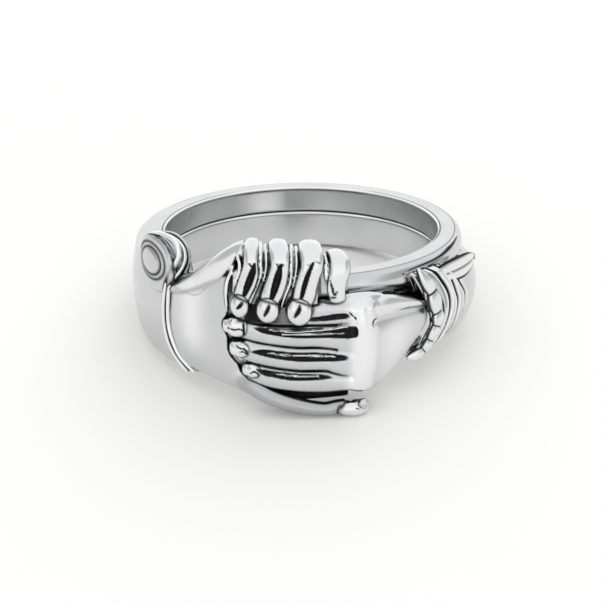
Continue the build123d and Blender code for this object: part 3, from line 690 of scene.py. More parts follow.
leftHand = {
    # angle, top edge, bottom edge, crown
    "palm": [(-56, 2.2, -1.9, 10.60), (-50, 3.0, -2.15, 10.80), (-46, 3.46, -2.22, 10.93),
             (-42.6, 3.64, -2.18, 11.02), (-40.5, 3.72, -2.17, 11.06), (-36.6, 4.06, -2.2, 11.17),
             (-32.5, 4.58, -2.3, 11.26), (-30.5, 4.86, -2.35, 11.3), (-27, 5.35, -2.5, 11.33),
             (-21, 5.85, -2.82, 11.33), (-17, 6.0, -3.05, 11.2), (-12, 6.02, -3.25, 10.98),
             (-7, 5.95, -3.4, 10.87), (-3, 5.85, -3.45, 10.8), (2, 5.75, -3.45, 10.8),
             (7, 5.6, -3.42, 10.8), (11, 5.3, -3.4, 10.8), (13, 4.9, -3.4, 10.8), (16, 4.2, -3.38, 10.8)],
    "innerRadius": 9.04, "bow": 0.30, "end": 2.70,
    "channelFace": 19.725, "channelFloor": -3.10, "slotFace": 20.765,
    # how softly the parts of the grip join, one after another
    "joins": {"fingers": 0.05, "knuckles": 0.10, "nails": 0.025, "webs": 0.03},
    # the left end of the room for the other hand's fingers: height, x
    "channelEnd": [
        (-3.15, -0.75), (-2.9, -1.2), (-2.5, -1.95), (-2.2, -2.7), (-1.9, -3.2), (-1.6, -3.62),
        (-1.16, -3.80), (-0.6, -4.22), (-0.1, -4.40), (0.3, -4.40), (0.7, -4.45), (1.0, -4.55),
        (1.4, -4.66), (1.8, -4.56), (2.1, -4.42), (2.5, -4.36), (3.4, -4.36), (4.2, -4.3), (4.65, -4.15),
        (5.3, -3.95), (6.1, -3.6), (6.6, -3.3)],
    # the wall between the fingers: nearest and furthest distance, lowest height, left and right end
    "wall": (19.4, 20.80, 3.0, -4.0, 0.95, 1.9), "slotRoof": 3.45,
    # the fold from the cuff up to the first finger: x, distance, height, half width, half depth
    "fold": [(-7.8, 17.95, 2.55, 0.34, 0.5), (-7.0, 18.5, 2.95, 0.44, 0.5), (-6.2, 19.0, 3.55, 0.54, 0.5),
             (-5.5, 19.35, 4.15, 0.62, 0.5), (-4.9, 19.65, 4.75, 0.64, 0.5), (-4.4, 19.85, 5.3, 0.60, 0.5),
             (-3.9, 20.0, 5.8, 0.54, 0.48), (-3.4, 20.15, 6.2, 0.47, 0.45),
             (-3.05, 20.25, 6.38, 0.42, 0.42), (-2.85, 20.3, 6.42, 0.38, 0.4)],
    "fingers": [
        [(-2.80, 18.7, 4.4, 0.45, 0.39), (-2.80, 19.25, 5.75, 0.46, 0.39), (-2.83, 19.9, 6.42, 0.44, 0.39),
         (-2.87, 20.55, 6.38, 0.44, 0.39), (-2.89, 21.02, 6.0, 0.435, 0.39),
         (-2.91, 21.14, 5.6, 0.435, 0.38), (-2.96, 21.14, 5.09, 0.51, 0.37),
         (-3.13, 21.13, 4.5, 0.53, 0.37), (-3.35, 21.12, 3.93, 0.50, 0.36),
         (-3.53, 21.10, 3.45, 0.46, 0.33), (-3.62, 21.06, 3.1, 0.40, 0.28)],
        [(-1.36, 18.7, 4.4, 0.56, 0.39), (-1.36, 19.25, 5.75, 0.57, 0.39), (-1.36, 19.9, 6.40, 0.57, 0.39),
         (-1.32, 20.55, 6.36, 0.58, 0.39), (-1.25, 21.02, 6.05, 0.58, 0.39),
         (-1.25, 21.14, 5.55, 0.56, 0.38), (-1.39, 21.14, 4.82, 0.60, 0.37),
         (-1.60, 21.13, 4.12, 0.62, 0.37), (-1.84, 21.12, 3.52, 0.58, 0.35),
         (-1.95, 21.08, 3.1, 0.48, 0.29)],
        [(0.42, 18.7, 4.4, 0.62, 0.39), (0.42, 19.25, 5.7, 0.64, 0.39), (0.44, 19.9, 6.33, 0.65, 0.39),
         (0.50, 20.55, 6.30, 0.67, 0.39), (0.60, 21.02, 5.95, 0.68, 0.39), (0.59, 21.14, 5.5, 0.66, 0.38),
         (0.42, 21.14, 4.9, 0.65, 0.37), (0.25, 21.13, 4.3, 0.65, 0.37), (0.08, 21.12, 3.6, 0.62, 0.35),
         (-0.08, 21.08, 3.05, 0.5, 0.29)],
        [(1.84, 18.7, 4.0, 0.54, 0.39), (1.84, 19.25, 5.1, 0.56, 0.39), (1.90, 19.9, 5.73, 0.56, 0.39),
         (2.02, 20.5, 5.80, 0.58, 0.39), (2.16, 21.0, 5.6, 0.60, 0.40), (2.18, 21.13, 5.2, 0.60, 0.40),
         (2.03, 21.15, 4.62, 0.56, 0.39), (1.97, 21.14, 4.05, 0.55, 0.38), (2.03, 21.13, 3.62, 0.48, 0.36)],
    ],
    # the rounded nail end of three fingers: x, distance, height, then the three half sizes
    "nails": [((-3.62, 21.10, 3.09), (0.58, 0.46, 0.78)), ((-1.99, 21.12, 2.88), (0.70, 0.46, 0.84)),
              ((-0.17, 21.12, 2.78), (0.77, 0.46, 0.90))],
    # the dark groove down each of them, the crescents on the nails and the lines on the knuckles
    "grooves": [
        [(-2.66, 21.50, 5.74, 0.08, 0.12), (-2.76, 21.52, 5.32, 0.17, 0.2), (-2.95, 21.5, 4.80, 0.20, 0.2),
         (-3.19, 21.48, 4.17, 0.17, 0.18), (-3.30, 21.47, 3.86, 0.11, 0.14)],
        [(-1.20, 21.50, 5.68, 0.08, 0.12), (-1.33, 21.52, 5.10, 0.19, 0.2), (-1.54, 21.5, 4.36, 0.20, 0.2),
         (-1.72, 21.48, 3.74, 0.13, 0.14)],
        [(0.66, 21.50, 5.84, 0.05, 0.08), (0.38, 21.53, 5.2, 0.11, 0.15), (0.15, 21.5, 4.5, 0.13, 0.16),
         (-0.03, 21.48, 3.76, 0.10, 0.14)],
        [(-3.27, 21.56, 3.63, 0.09, 0.08), (-3.46, 21.59, 3.32, 0.13, 0.10),
         (-3.74, 21.54, 3.02, 0.05, 0.06)],
        [(-1.85, 21.57, 3.49, 0.06, 0.08), (-1.95, 21.61, 3.08, 0.11, 0.10),
         (-2.2, 21.55, 2.60, 0.05, 0.06)],
        [(-0.12, 21.57, 3.38, 0.08, 0.08), (-0.20, 21.61, 2.97, 0.14, 0.10),
         (-0.44, 21.55, 2.58, 0.06, 0.06)],
        [(-2.97, 21.50, 5.74, 0.03, 0.05), (-2.76, 21.54, 5.52, 0.04, 0.05),
         (-2.58, 21.50, 5.71, 0.03, 0.05)],
        [(-1.44, 21.50, 5.78, 0.03, 0.05), (-1.23, 21.54, 5.55, 0.04, 0.05),
         (-1.05, 21.50, 5.74, 0.03, 0.05)],
        [(0.12, 21.46, 5.96, 0.03, 0.05), (0.36, 21.54, 5.70, 0.04, 0.05), (0.69, 21.52, 5.90, 0.03, 0.05),
         (1.12, 21.44, 5.74, 0.03, 0.05)],
        [(2.11, 21.52, 5.62, 0.03, 0.05), (2.25, 21.49, 5.79, 0.04, 0.05), (2.44, 21.42, 5.88, 0.03, 0.04)],
        [(1.61, 21.46, 4.72, 0.03, 0.05), (1.73, 21.50, 4.26, 0.05, 0.06), (1.87, 21.52, 3.84, 0.05, 0.06),
         (2.01, 21.53, 4.07, 0.03, 0.04)],
        [(1.65, 21.42, 3.68, 0.03, 0.05), (1.94, 21.51, 3.69, 0.03, 0.04)],
    ],
    # the hidden face of the palm: its middle and half sizes
    "hidden": ((-0.5, 19.7, 0.2), (3.2, 0.4, 2.5)),
    # painted shade in the gap beside the last finger: its middle and half sizes
    "dark": ((1.36, 20.4, 3.85), (0.36, 0.62, 0.95)),
    # hidden fillings under the knuckles, so that no hollow shows there
    "knuckles": [((-2.84, 20.3, 5.5), (0.42, 0.75, 0.65)), ((-1.27, 20.3, 5.5), (0.5, 0.75, 0.65)),
                 ((0.5, 20.3, 5.45), (0.55, 0.75, 0.65)), ((-3.32, 20.30, 6.02), (0.42, 0.36, 0.50))],
    # skin folds where the fingers leave the hand, and the narrow strips that run down from them
    "webs": [
        [(-3.92, 20.15, 5.2, 0.07, 0.12), (-4.15, 20.3, 4.65, 0.11, 0.14), (-4.31, 20.3, 4.22, 0.12, 0.14),
         (-4.40, 20.3, 3.63, 0.12, 0.14), (-4.38, 20.3, 2.86, 0.11, 0.14), (-4.32, 20.25, 2.2, 0.07, 0.10)],
        [(-3.60, 20.3, 6.1, 0.08, 0.14), (-3.66, 20.6, 5.89, 0.11, 0.14), (-3.54, 20.78, 5.48, 0.12, 0.14),
         (-3.60, 20.80, 4.94, 0.12, 0.14), (-3.76, 20.75, 4.55, 0.11, 0.14),
         (-3.94, 20.62, 3.77, 0.08, 0.12)],
        [(-2.40, 19.7, 6.40, 0.12, 0.16), (-2.38, 20.3, 6.48, 0.15, 0.18), (-2.35, 20.76, 6.2, 0.14, 0.17),
         (-2.37, 20.90, 5.59, 0.13, 0.16), (-2.35, 20.95, 5.06, 0.12, 0.15),
         (-2.47, 20.97, 4.62, 0.11, 0.14), (-2.74, 20.97, 3.9, 0.10, 0.14),
         (-3.02, 20.95, 3.2, 0.08, 0.12), (-3.18, 20.93, 2.75, 0.06, 0.10)],
        [(-2.09, 19.7, 6.28, 0.10, 0.14), (-2.07, 20.3, 6.38, 0.12, 0.16),
         (-2.03, 20.76, 6.12, 0.12, 0.16), (-2.03, 20.90, 5.45, 0.10, 0.14),
         (-2.12, 20.92, 4.9, 0.08, 0.12), (-2.22, 20.95, 4.55, 0.05, 0.10)],
        [(-0.62, 19.7, 6.26, 0.11, 0.14), (-0.60, 20.3, 6.36, 0.13, 0.17),
         (-0.59, 20.76, 6.05, 0.13, 0.17), (-0.61, 20.90, 5.4, 0.13, 0.16),
         (-0.63, 20.95, 4.9, 0.12, 0.15), (-0.72, 20.97, 4.4, 0.12, 0.14), (-0.90, 20.97, 3.9, 0.11, 0.14),
         (-1.08, 20.97, 3.4, 0.09, 0.12), (-1.20, 20.94, 3.0, 0.06, 0.10)],
        [(-0.33, 19.7, 6.16, 0.09, 0.14), (-0.31, 20.3, 6.28, 0.11, 0.16),
         (-0.29, 20.76, 5.98, 0.11, 0.16), (-0.30, 20.88, 5.3, 0.10, 0.14),
         (-0.40, 20.92, 4.7, 0.08, 0.12), (-0.52, 20.95, 4.2, 0.05, 0.10)],
        [(1.32, 19.7, 5.62, 0.20, 0.2), (1.36, 20.4, 5.72, 0.20, 0.2), (1.40, 20.90, 5.42, 0.19, 0.2),
         (1.40, 21.02, 4.98, 0.17, 0.2), (1.40, 21.0, 4.66, 0.09, 0.15)],
    ],
    "thumb": [
        (-4.3, 19.40, -1.65, 0.46, 0.40), (-3.5, 19.78, -2.1, 0.58, 0.50),
        (-2.8, 20.08, -2.46, 0.60, 0.52), (-2.0, 20.25, -2.9, 0.53, 0.50),
        (-1.34, 20.28, -3.18, 0.50, 0.47), (-0.31, 20.28, -3.47, 0.47, 0.45),
        (0.53, 20.28, -3.65, 0.44, 0.43), (1.38, 20.28, -3.73, 0.41, 0.41),
        (1.9, 20.28, -3.66, 0.44, 0.42), (2.3, 20.28, -3.62, 0.44, 0.42)],
    "thumbTip": [
        (2.2, 20.36, -3.70, 0.36, 0.38), (2.7, 20.38, -3.72, 0.46, 0.44), (3.3, 20.36, -3.72, 0.49, 0.46),
        (3.55, 20.32, -3.68, 0.45, 0.42)],
    "thumbNail": ((3.6, 20.72, -3.38), (0.32, 0.20, 0.34)),
    "thumbMark": [
        (3.20, 20.78, -3.38, 0.03, 0.05), (3.5, 20.92, -3.70, 0.04, 0.05),
        (3.16, 20.82, -3.61, 0.03, 0.05)],
    # the soft painted shade line under the fold, by angle, radius and height, and its strength
    "foldLine": [
        (-46.5, 10.98, 2.98), (-44, 11.0, 2.92), (-40.5, 11.05, 2.83), (-37.2, 11.1, 2.78),
        (-34.8, 11.12, 2.85), (-32, 11.1, 3.13), (-30.1, 11.08, 3.47), (-28, 11.05, 3.95)],
    "foldLineEnds": ((-48, 2), (-28, -2)),
    # a fine second line along the thumb's upper edge
    "thumbLine": [
        (-2.6, 20.72, -2.12, 0.03, 0.04), (-2.0, 20.76, -2.52, 0.035, 0.04),
        (-1.34, 20.74, -2.83, 0.035, 0.04), (-0.31, 20.71, -3.14, 0.035, 0.04),
        (0.53, 20.69, -3.36, 0.035, 0.04), (1.29, 20.67, -3.47, 0.03, 0.04)],
    "low": (-8.6, 16.2, -4.7), "high": (4.5, 22.3, 7.0), "cell": 0.074,
}
rightHand = {
    # angle, top, bottom, crown
    "palm": [(10, 2.9, -2.6, 11.4), (15, 2.95, -2.82, 11.58), (19, 3.0, -3.05, 11.70),
             (23, 2.95, -2.95, 11.66), (27, 2.85, -2.55, 11.54), (31, 2.6, -2.1, 11.38),
             (36, 2.35, -1.6, 11.16), (41, 2.15, -1.3, 11.0), (46, 2.1, -1.1, 10.92),
             (52, 2.0, -1.0, 10.85)],
    "bow": 0.62, "innerRadius": 9.6, "palmFace": 19.825, "palmEnd": 2.83, "mouth": 50.0,
    # x, distance, height, half height, half depth
    "fingers": [
        [(3.9, 20.2, 2.33, 0.66, 0.46), (2.6, 20.25, 2.36, 0.72, 0.44), (0.0, 20.25, 2.38, 0.74, 0.43),
         (-2.2, 20.25, 2.40, 0.72, 0.42), (-3.4, 20.2, 2.42, 0.60, 0.38), (-3.75, 20.15, 2.42, 0.42, 0.30)],
        [(3.9, 20.2, 0.72, 0.80, 0.46), (2.65, 20.25, 0.78, 0.85, 0.44), (2.0, 20.25, 0.84, 0.79, 0.43),
         (1.0, 20.25, 0.92, 0.70, 0.43), (-0.3, 20.25, 0.93, 0.68, 0.43), (-1.3, 20.25, 0.97, 0.63, 0.42),
         (-2.4, 20.25, 1.08, 0.58, 0.42), (-3.4, 20.22, 1.27, 0.56, 0.40)],
        [(3.9, 20.2, -0.95, 0.76, 0.46), (3.2, 20.25, -0.92, 0.77, 0.45), (2.65, 20.25, -0.87, 0.79, 0.44),
         (2.06, 20.25, -0.73, 0.76, 0.43), (1.6, 20.25, -0.57, 0.73, 0.43),
         (1.0, 20.25, -0.505, 0.74, 0.43), (-0.3, 20.25, -0.475, 0.74, 0.43),
         (-1.3, 20.25, -0.37, 0.73, 0.42), (-2.05, 20.25, -0.255, 0.73, 0.42),
         (-2.78, 20.25, -0.12, 0.70, 0.41), (-3.3, 20.22, 0.03, 0.67, 0.38)],
        [(3.8, 20.15, -2.1, 0.5, 0.44), (3.0, 20.2, -2.1, 0.5, 0.43), (2.2, 20.25, -2.05, 0.55, 0.43),
         (1.3, 20.25, -1.975, 0.72, 0.43), (0.54, 20.25, -1.935, 0.71, 0.43),
         (-0.3, 20.25, -1.885, 0.68, 0.43), (-0.97, 20.25, -1.81, 0.68, 0.43),
         (-1.7, 20.25, -1.71, 0.67, 0.42), (-2.3, 20.25, -1.56, 0.63, 0.42),
         (-2.9, 20.22, -1.36, 0.57, 0.38)],
    ],
    "tips": [
        [(-3.5, 20.28, 1.36, 0.56, 0.42), (-3.9, 20.28, 1.40, 0.62, 0.44), (-4.2, 20.25, 1.42, 0.56, 0.40),
         (-4.38, 20.22, 1.42, 0.42, 0.32)],
        [(-3.4, 20.28, 0.05, 0.50, 0.42), (-3.7, 20.28, 0.05, 0.56, 0.43),
         (-3.95, 20.25, 0.06, 0.48, 0.38)],
        [(-2.75, 20.28, -1.32, 0.47, 0.42), (-3.0, 20.28, -1.27, 0.51, 0.42),
         (-3.25, 20.24, -1.23, 0.42, 0.35)],
    ],
    # the dark hollow along each finger's upper side: x, distance, height, half height, half depth
    "hollows": [
        [(0.0, 20.74, 2.02, 0.05, 0.08), (0.4, 20.74, 2.04, 0.12, 0.14), (0.7, 20.74, 2.06, 0.15, 0.16),
         (1.41, 20.74, 2.13, 0.17, 0.17), (2.07, 20.76, 2.20, 0.19, 0.19), (2.57, 20.86, 2.20, 0.20, 0.22),
         (2.88, 20.96, 2.08, 0.14, 0.18)],
        [(-2.98, 20.72, 1.575, 0.05, 0.08), (-2.36, 20.72, 1.445, 0.19, 0.18),
         (-1.7, 20.72, 1.33, 0.21, 0.22), (-0.92, 20.72, 1.25, 0.25, 0.24),
         (-0.3, 20.72, 1.255, 0.295, 0.25), (1.0, 20.72, 1.275, 0.335, 0.26),
         (2.24, 20.74, 1.255, 0.385, 0.27), (2.80, 20.80, 1.22, 0.40, 0.28),
         (2.98, 20.84, 1.22, 0.36, 0.26)],
        [(-3.0, 20.72, 0.0, 0.05, 0.08), (-2.4, 20.72, 0.0, 0.18, 0.18),
         (-1.67, 20.72, -0.105, 0.235, 0.20), (-0.94, 20.72, -0.20, 0.25, 0.22),
         (-0.28, 20.72, -0.26, 0.26, 0.22), (0.98, 20.72, -0.28, 0.26, 0.22),
         (1.98, 20.74, -0.365, 0.215, 0.20), (2.57, 20.84, -0.39, 0.17, 0.18),
         (2.9, 20.94, -0.36, 0.08, 0.12)],
        [(-2.7, 20.72, -1.07, 0.05, 0.08), (-2.35, 20.72, -1.22, 0.17, 0.16),
         (-1.69, 20.72, -1.355, 0.195, 0.18), (-1.14, 20.72, -1.445, 0.215, 0.20),
         (-0.29, 20.72, -1.535, 0.215, 0.20), (0.55, 20.72, -1.535, 0.195, 0.18),
         (1.39, 20.74, -1.54, 0.15, 0.15), (1.95, 20.78, -1.61, 0.05, 0.09)],
    ],
    # thin raised lines inside three of the hollows
    "ridges": [
        [(-2.2, 20.62, 1.42, 0.02, 0.05), (-0.9, 20.56, 1.30, 0.04, 0.09), (0.3, 20.54, 1.31, 0.045, 0.10),
         (1.0, 20.54, 1.36, 0.05, 0.10), (1.9, 20.54, 1.43, 0.05, 0.10), (2.6, 20.56, 1.50, 0.03, 0.08)],
        [(-1.2, 20.60, 1.12, 0.02, 0.05), (0.0, 20.55, 1.10, 0.025, 0.08), (1.4, 20.55, 1.13, 0.025, 0.08),
         (2.4, 20.58, 1.12, 0.02, 0.05)],
        [(-2.2, 20.62, -0.02, 0.02, 0.05), (-1.0, 20.57, -0.20, 0.035, 0.08),
         (0.6, 20.56, -0.24, 0.035, 0.08), (1.9, 20.58, -0.34, 0.02, 0.05)],
        [(-1.8, 20.62, -1.33, 0.02, 0.05), (-0.6, 20.58, -1.50, 0.03, 0.07),
         (0.9, 20.60, -1.54, 0.02, 0.05)],
    ],
    # fine grooves: between the fingers, under the last one, on the tips and over the back
    "lines": [
        [(-3.0, 20.66, 0.63, 0.03, 0.05), (-2.02, 20.69, 0.47, 0.03, 0.05),
         (-0.27, 20.70, 0.25, 0.03, 0.05), (0.98, 20.70, 0.22, 0.035, 0.05),
         (1.48, 20.70, 0.17, 0.04, 0.06), (1.98, 20.74, 0.05, 0.05, 0.08), (2.5, 20.80, -0.06, 0.05, 0.10),
         (3.0, 20.88, -0.14, 0.03, 0.08)],
        [(-2.78, 20.66, -0.82, 0.03, 0.05), (-2.05, 20.69, -0.97, 0.03, 0.05),
         (-0.29, 20.70, -1.2, 0.03, 0.05), (0.97, 20.70, -1.24, 0.035, 0.05),
         (1.6, 20.71, -1.31, 0.05, 0.06), (2.06, 20.75, -1.49, 0.06, 0.08),
         (2.44, 20.80, -1.63, 0.05, 0.10), (2.9, 20.87, -1.69, 0.04, 0.08)],
        [(-4.23, 20.52, 1.82, 0.03, 0.05), (-4.04, 20.62, 1.98, 0.03, 0.05),
         (-3.86, 20.68, 1.84, 0.03, 0.05), (-3.71, 20.70, 1.79, 0.03, 0.05)],
        [(-4.35, 20.56, 1.42, 0.03, 0.05), (-3.91, 20.71, 1.37, 0.035, 0.05),
         (-3.65, 20.71, 1.42, 0.035, 0.05), (-3.5, 20.70, 1.35, 0.03, 0.05)],
        [(-3.45, 20.60, 1.84, 0.035, 0.05), (-3.42, 20.67, 1.4, 0.035, 0.05),
         (-3.45, 20.62, 0.88, 0.035, 0.05)],
        [(-3.93, 20.62, 0.52, 0.03, 0.05), (-3.49, 20.70, 0.41, 0.035, 0.05),
         (-3.05, 20.68, 0.28, 0.035, 0.05)],
        [(-3.89, 20.66, 0.35, 0.03, 0.05), (-3.64, 20.71, 0.21, 0.04, 0.05),
         (-3.42, 20.71, 0.18, 0.045, 0.06), (-3.28, 20.69, 0.03, 0.05, 0.06),
         (-3.25, 20.67, -0.24, 0.03, 0.05)],
        [(-3.68, 20.71, -0.03, 0.025, 0.05), (-3.5, 20.71, 0.02, 0.03, 0.05),
         (-3.35, 20.70, -0.13, 0.025, 0.05)],
        [(-3.26, 20.64, -0.90, 0.03, 0.05), (-3.11, 20.70, -1.03, 0.03, 0.05)],
        [(-3.08, 20.71, -1.35, 0.03, 0.05), (-2.9, 20.71, -1.24, 0.045, 0.06),
         (-2.68, 20.70, -1.33, 0.045, 0.06), (-2.61, 20.67, -1.56, 0.03, 0.05)],
    ],
    # the same over the back: angle, radius, height, half height, half depth
    "creases": [
        [(13.6, 11.36, 2.77, 0.03, 0.05), (16.2, 11.42, 2.67, 0.05, 0.06), (18.3, 11.42, 2.77, 0.05, 0.06),
         (20.7, 11.38, 3.0, 0.03, 0.05)],
        [(17.0, 11.55, 2.62, 0.03, 0.06), (18.3, 11.62, 2.26, 0.06, 0.09), (19.5, 11.68, 1.81, 0.03, 0.06)],
        [(20.5, 11.64, 1.5, 0.03, 0.05), (20.9, 11.66, 1.72, 0.05, 0.07), (22.9, 11.60, 1.85, 0.06, 0.08),
         (28.2, 11.42, 1.92, 0.045, 0.05), (34.2, 11.16, 1.94, 0.03, 0.04),
         (38.4, 10.95, 1.93, 0.02, 0.03)],
        [(13.7, 11.52, 2.45, 0.03, 0.05), (15.7, 11.66, 2.01, 0.05, 0.07), (16.7, 11.70, 1.62, 0.03, 0.05)],
    ],
    # the row of knuckles as one ridge: x, distance, height, half width, half depth
    "knuckles": [
        (3.35, 20.40, 2.45, 0.50, 0.40), (3.52, 20.46, 1.6, 0.52, 0.42), (3.62, 20.48, 0.7, 0.52, 0.41),
        (3.64, 20.48, -0.2, 0.52, 0.41), (3.60, 20.48, -1.0, 0.52, 0.41), (3.48, 20.46, -1.7, 0.52, 0.40),
        (3.32, 20.40, -2.3, 0.50, 0.36)],
    # the thumb: its ball from the wrist, then its tip; angle, radius, height, half height, half depth
    "thumbBall": [
        (43, 10.80, 1.74, 0.14, 0.20), (37, 10.88, 2.08, 0.30, 0.34), (31, 11.02, 2.34, 0.46, 0.42),
        (26, 11.12, 2.46, 0.60, 0.48), (22.0, 11.16, 2.46, 0.64, 0.48)],
    "thumbTip": [
        (24, 11.05, 2.88, 0.34, 0.34), (20.5, 11.12, 3.03, 0.36, 0.36), (17.5, 11.12, 3.07, 0.36, 0.36),
        (14, 11.06, 3.04, 0.35, 0.34), (11, 11.0, 3.0, 0.32, 0.30)],
    "low": (-5.2, 17.6, -3.6), "high": (9.2, 21.8, 4.4), "cell": 0.074,
}


def places(p):    # angle and radius at the ring's axis of points given in the clasp's measures
    return around(p[:, 0], ring["seat"] - np.sqrt(np.maximum(p[:, 1] ** 2 - p[:, 0] ** 2, 1)))


def fromRing(rows):    # rows of angle, radius, height and more -> x, distance from the rivet, height
    rows = np.array(rows, float)
    q = fromAxis(rows[:, 0], rows[:, 1], rows[:, 2])
    return np.column_stack([q[:, 0], np.hypot(q[:, 0], ring["seat"] - q[:, 1]), rows[:, 2:]])


vertical, level = (0, 0, 1), (1, 0, 0)


def strands(tables, across, power=2.0):
    return [strand(rows, across, power) for rows in tables]


leftSolids = {
    "fingers": strands(leftHand["fingers"], level, 2.2), "grooves": strands(leftHand["grooves"], level),
    "webs": strands(leftHand["webs"], level), "fold": strand(leftHand["fold"], vertical),
    "thumb": strand(leftHand["thumb"], vertical), "thumbTip": strand(leftHand["thumbTip"], vertical),
    "thumbMarks": strands([leftHand["thumbMark"], leftHand["thumbLine"]], vertical),
    "nails": leftHand["nails"], "knuckles": leftHand["knuckles"],
}
rightSolids = {
    "fingers": strands(rightHand["fingers"], vertical, 2.7),
    "tips": strands(rightHand["tips"], vertical, 2.2),
    "hollows": strands(rightHand["hollows"], vertical, 2.4),
    "knuckles": strand(rightHand["knuckles"], level), "ridges": strands(rightHand["ridges"], vertical),
    "lines": strands(rightHand["lines"] + [fromRing(rows) for rows in rightHand["creases"]], vertical),
    "thumbBall": strand(fromRing(rightHand["thumbBall"]), vertical),
    "thumbTip": strand(fromRing(rightHand["thumbTip"]), vertical),
}


farOff = 9.0    # the distance to a solid that isn't there yet


def palmWalls(table, height, angle):    # top, bottom and the bowed outer face's radius
    top, bottom, crown = curve(table["palm"], angle).T
    middle, half = (top + bottom) / 2, (top - bottom) / 2
    return top, bottom, crown - table["bow"] * ((height - middle) / half) ** 2


def leftPalm(p):    # the palm's field, and that of its top alone
    h = leftHand
    x, distance, height = p.T
    angle, radius = places(p)
    top, bottom, face = palmWalls(h, height, angle)
    roof = height - top + 0.9 * np.maximum(radius - 10.3, 0) + 0.4 * np.maximum(9.9 - radius, 0)
    below = height < ring["upperBottom"]
    palm = within(radius - face, roof, bottom - height, k=0.42)
    palm = within(palm, np.where(below, ring["sleeveRoom"], h["innerRadius"]) - radius, x - h["end"],
                  -(angle + 53) * 0.19, k=0.06)
    swing = np.where(below & (x > -0.5), ring["seat"] + ring["sleeveRoom"] - distance, -1.0)
    return np.maximum(palm, swing), roof


def leftHandField(p):
    s, h = leftSolids, leftHand
    x, distance, height = p.T
    palm, roof = leftPalm(p)
    palm = added(palm, [s["fold"]], 0.08, p)
    end, floor = lineAt(h["channelEnd"], height) - x, h["channelFloor"] - height
    out = without(palm, within(h["channelFace"] - distance, end, floor, k=0.12), 0.10)
    near, far, low, left, right, upperRight = h["wall"]
    right = right + (upperRight - right) * ramp(height, 4.7, 0.4)
    wall = within(near - distance, distance - far, low - height, roof + 0.1, left - x, x - right, k=0.14)
    out = blend(out, wall, 0.08)
    grip = np.full(len(p), farOff)
    for key, k in h["joins"].items():
        grip = added(grip, s[key], k, p)
    out = blend(out, grip, 0.10)
    slot = within(distance - h["slotFace"], h["channelFace"] + 0.02 - distance, height - h["slotRoof"],
                  end, floor, k=0.05)
    thumb = blend(strandField(s["thumb"], p), strandField(s["thumbTip"], p), 0.03)
    out = blend(np.maximum(out, -slot), added(thumb, [h["thumbNail"]], 0.02, p), 0.30)
    return taken(out, s["grooves"] + s["thumbMarks"], 0.02, p)


def meeting(a, b, width):    # 1 on the line where two surfaces meet, 0 at about the width from it
    return smooth(1 - (np.abs(a) + np.abs(b)) / width)


def leftMeetings(p):
    # the dark lines round the nails, over the fold and behind the thumb's tip, with their strength, and
    # painted shade in the gap beside the last finger, along the fold's lower edge, over the thumb and on the
    # channel's floor
    s, h = leftSolids, leftHand
    x, distance, height = p.T
    angle, radius = places(p)
    fingers = nearestOf(s["fingers"], p)
    fold, thumb = strandField(s["fold"], p), strandField(s["thumb"], p)
    above = ramp(height, np.interp(x, *np.array(h["fold"])[:, [0, 2]].T), 0.25)
    box = (p - np.array(h["dark"][0])) / np.array(h["dark"][1])    # painted shade in the gap beside the last finger
    off = np.abs(height - lineAt(np.array(h["foldLine"])[:, [0, 2]], angle))
    # painted shade on the floor of the room for the other hand's fingers
    floor = ramp(x, -2.7, 0.3) * ramp(height, -2.2, -0.2) * window(distance, (19.5, 0.1), (20.0, -0.1))
    marks = [meeting(nearestOf(s["nails"], p), fingers, 0.09),
             smooth((1.1 - np.abs(box).max(axis=1)) / 0.2),
             meeting(fold, leftPalm(p)[0], 0.18) * (0.45 + 0.55 * above),
             0.5 * smooth(1 - off / 0.07) * (radius > 10.6) * window(angle, *h["foldLineEnds"]),
             meeting(thumb, strandField(s["thumbTip"], p), 0.10), 0.24 * smooth(1.2 - thumb / 0.06),
             floor, 0.9 * meeting(nearestOf(s["webs"], p), fingers, 0.07)]
    for centre, half in h["nails"]:
        oval = np.hypot((x - centre[0]) / half[0], (height - centre[2]) / half[2])
        marks.append(smooth(1.3 - np.abs(oval - 0.95) * half[0] / 0.055) * (distance > 21.2))
    return np.maximum.reduce(marks)


def leftPaintedHighlight(p):    # painted highlight: the fingers and their nails are brighter than the palm, and so are the fold's rim, the palm's top, the thumb's tip and a broad patch on the palm
    s = leftSolids
    near = nearestOf(s["fingers"] + s["nails"] + s["knuckles"][-1:], p)
    rim = np.maximum(smooth(1 - np.abs(strandField(s["fold"], p)) / 0.2),
                     smooth(1 + leftPalm(p)[1] / 0.3) * 0.9)
    thumb = smooth(1 - strandField(s["thumbTip"], p) / 0.05)
    broadHighlight = bell(places(p)[0] + 36.5, 5.5) * ramp(p[:, 2], -1.8, 2.2)
    return np.maximum.reduce([0.5 * smooth(1.2 - near / 0.05), 0.6 * rim, 0.6 * thumb, 0.7 * broadHighlight])


def rightPaintedHighlight(p):    # painted highlight: the knuckles and the tips of the fingers and thumb are the brightest, with a broad patch on the back of the hand
    s = rightSolids
    ridge = bell(np.maximum(strandField(s["knuckles"], p), 0), 0.32)
    tips = smooth(1.2 - nearestOf(s["tips"], p) / 0.05)
    thumb = smooth(1.2 - nearestOf([s["thumbTip"], s["thumbBall"]], p) / 0.15)
    broadHighlight = bell(places(p)[0] - 29, 7) * ramp(p[:, 2], 1.9, -1.2)
    return np.maximum.reduce([0.7 * ridge, 0.6 * tips, 0.5 * thumb, 0.6 * broadHighlight])


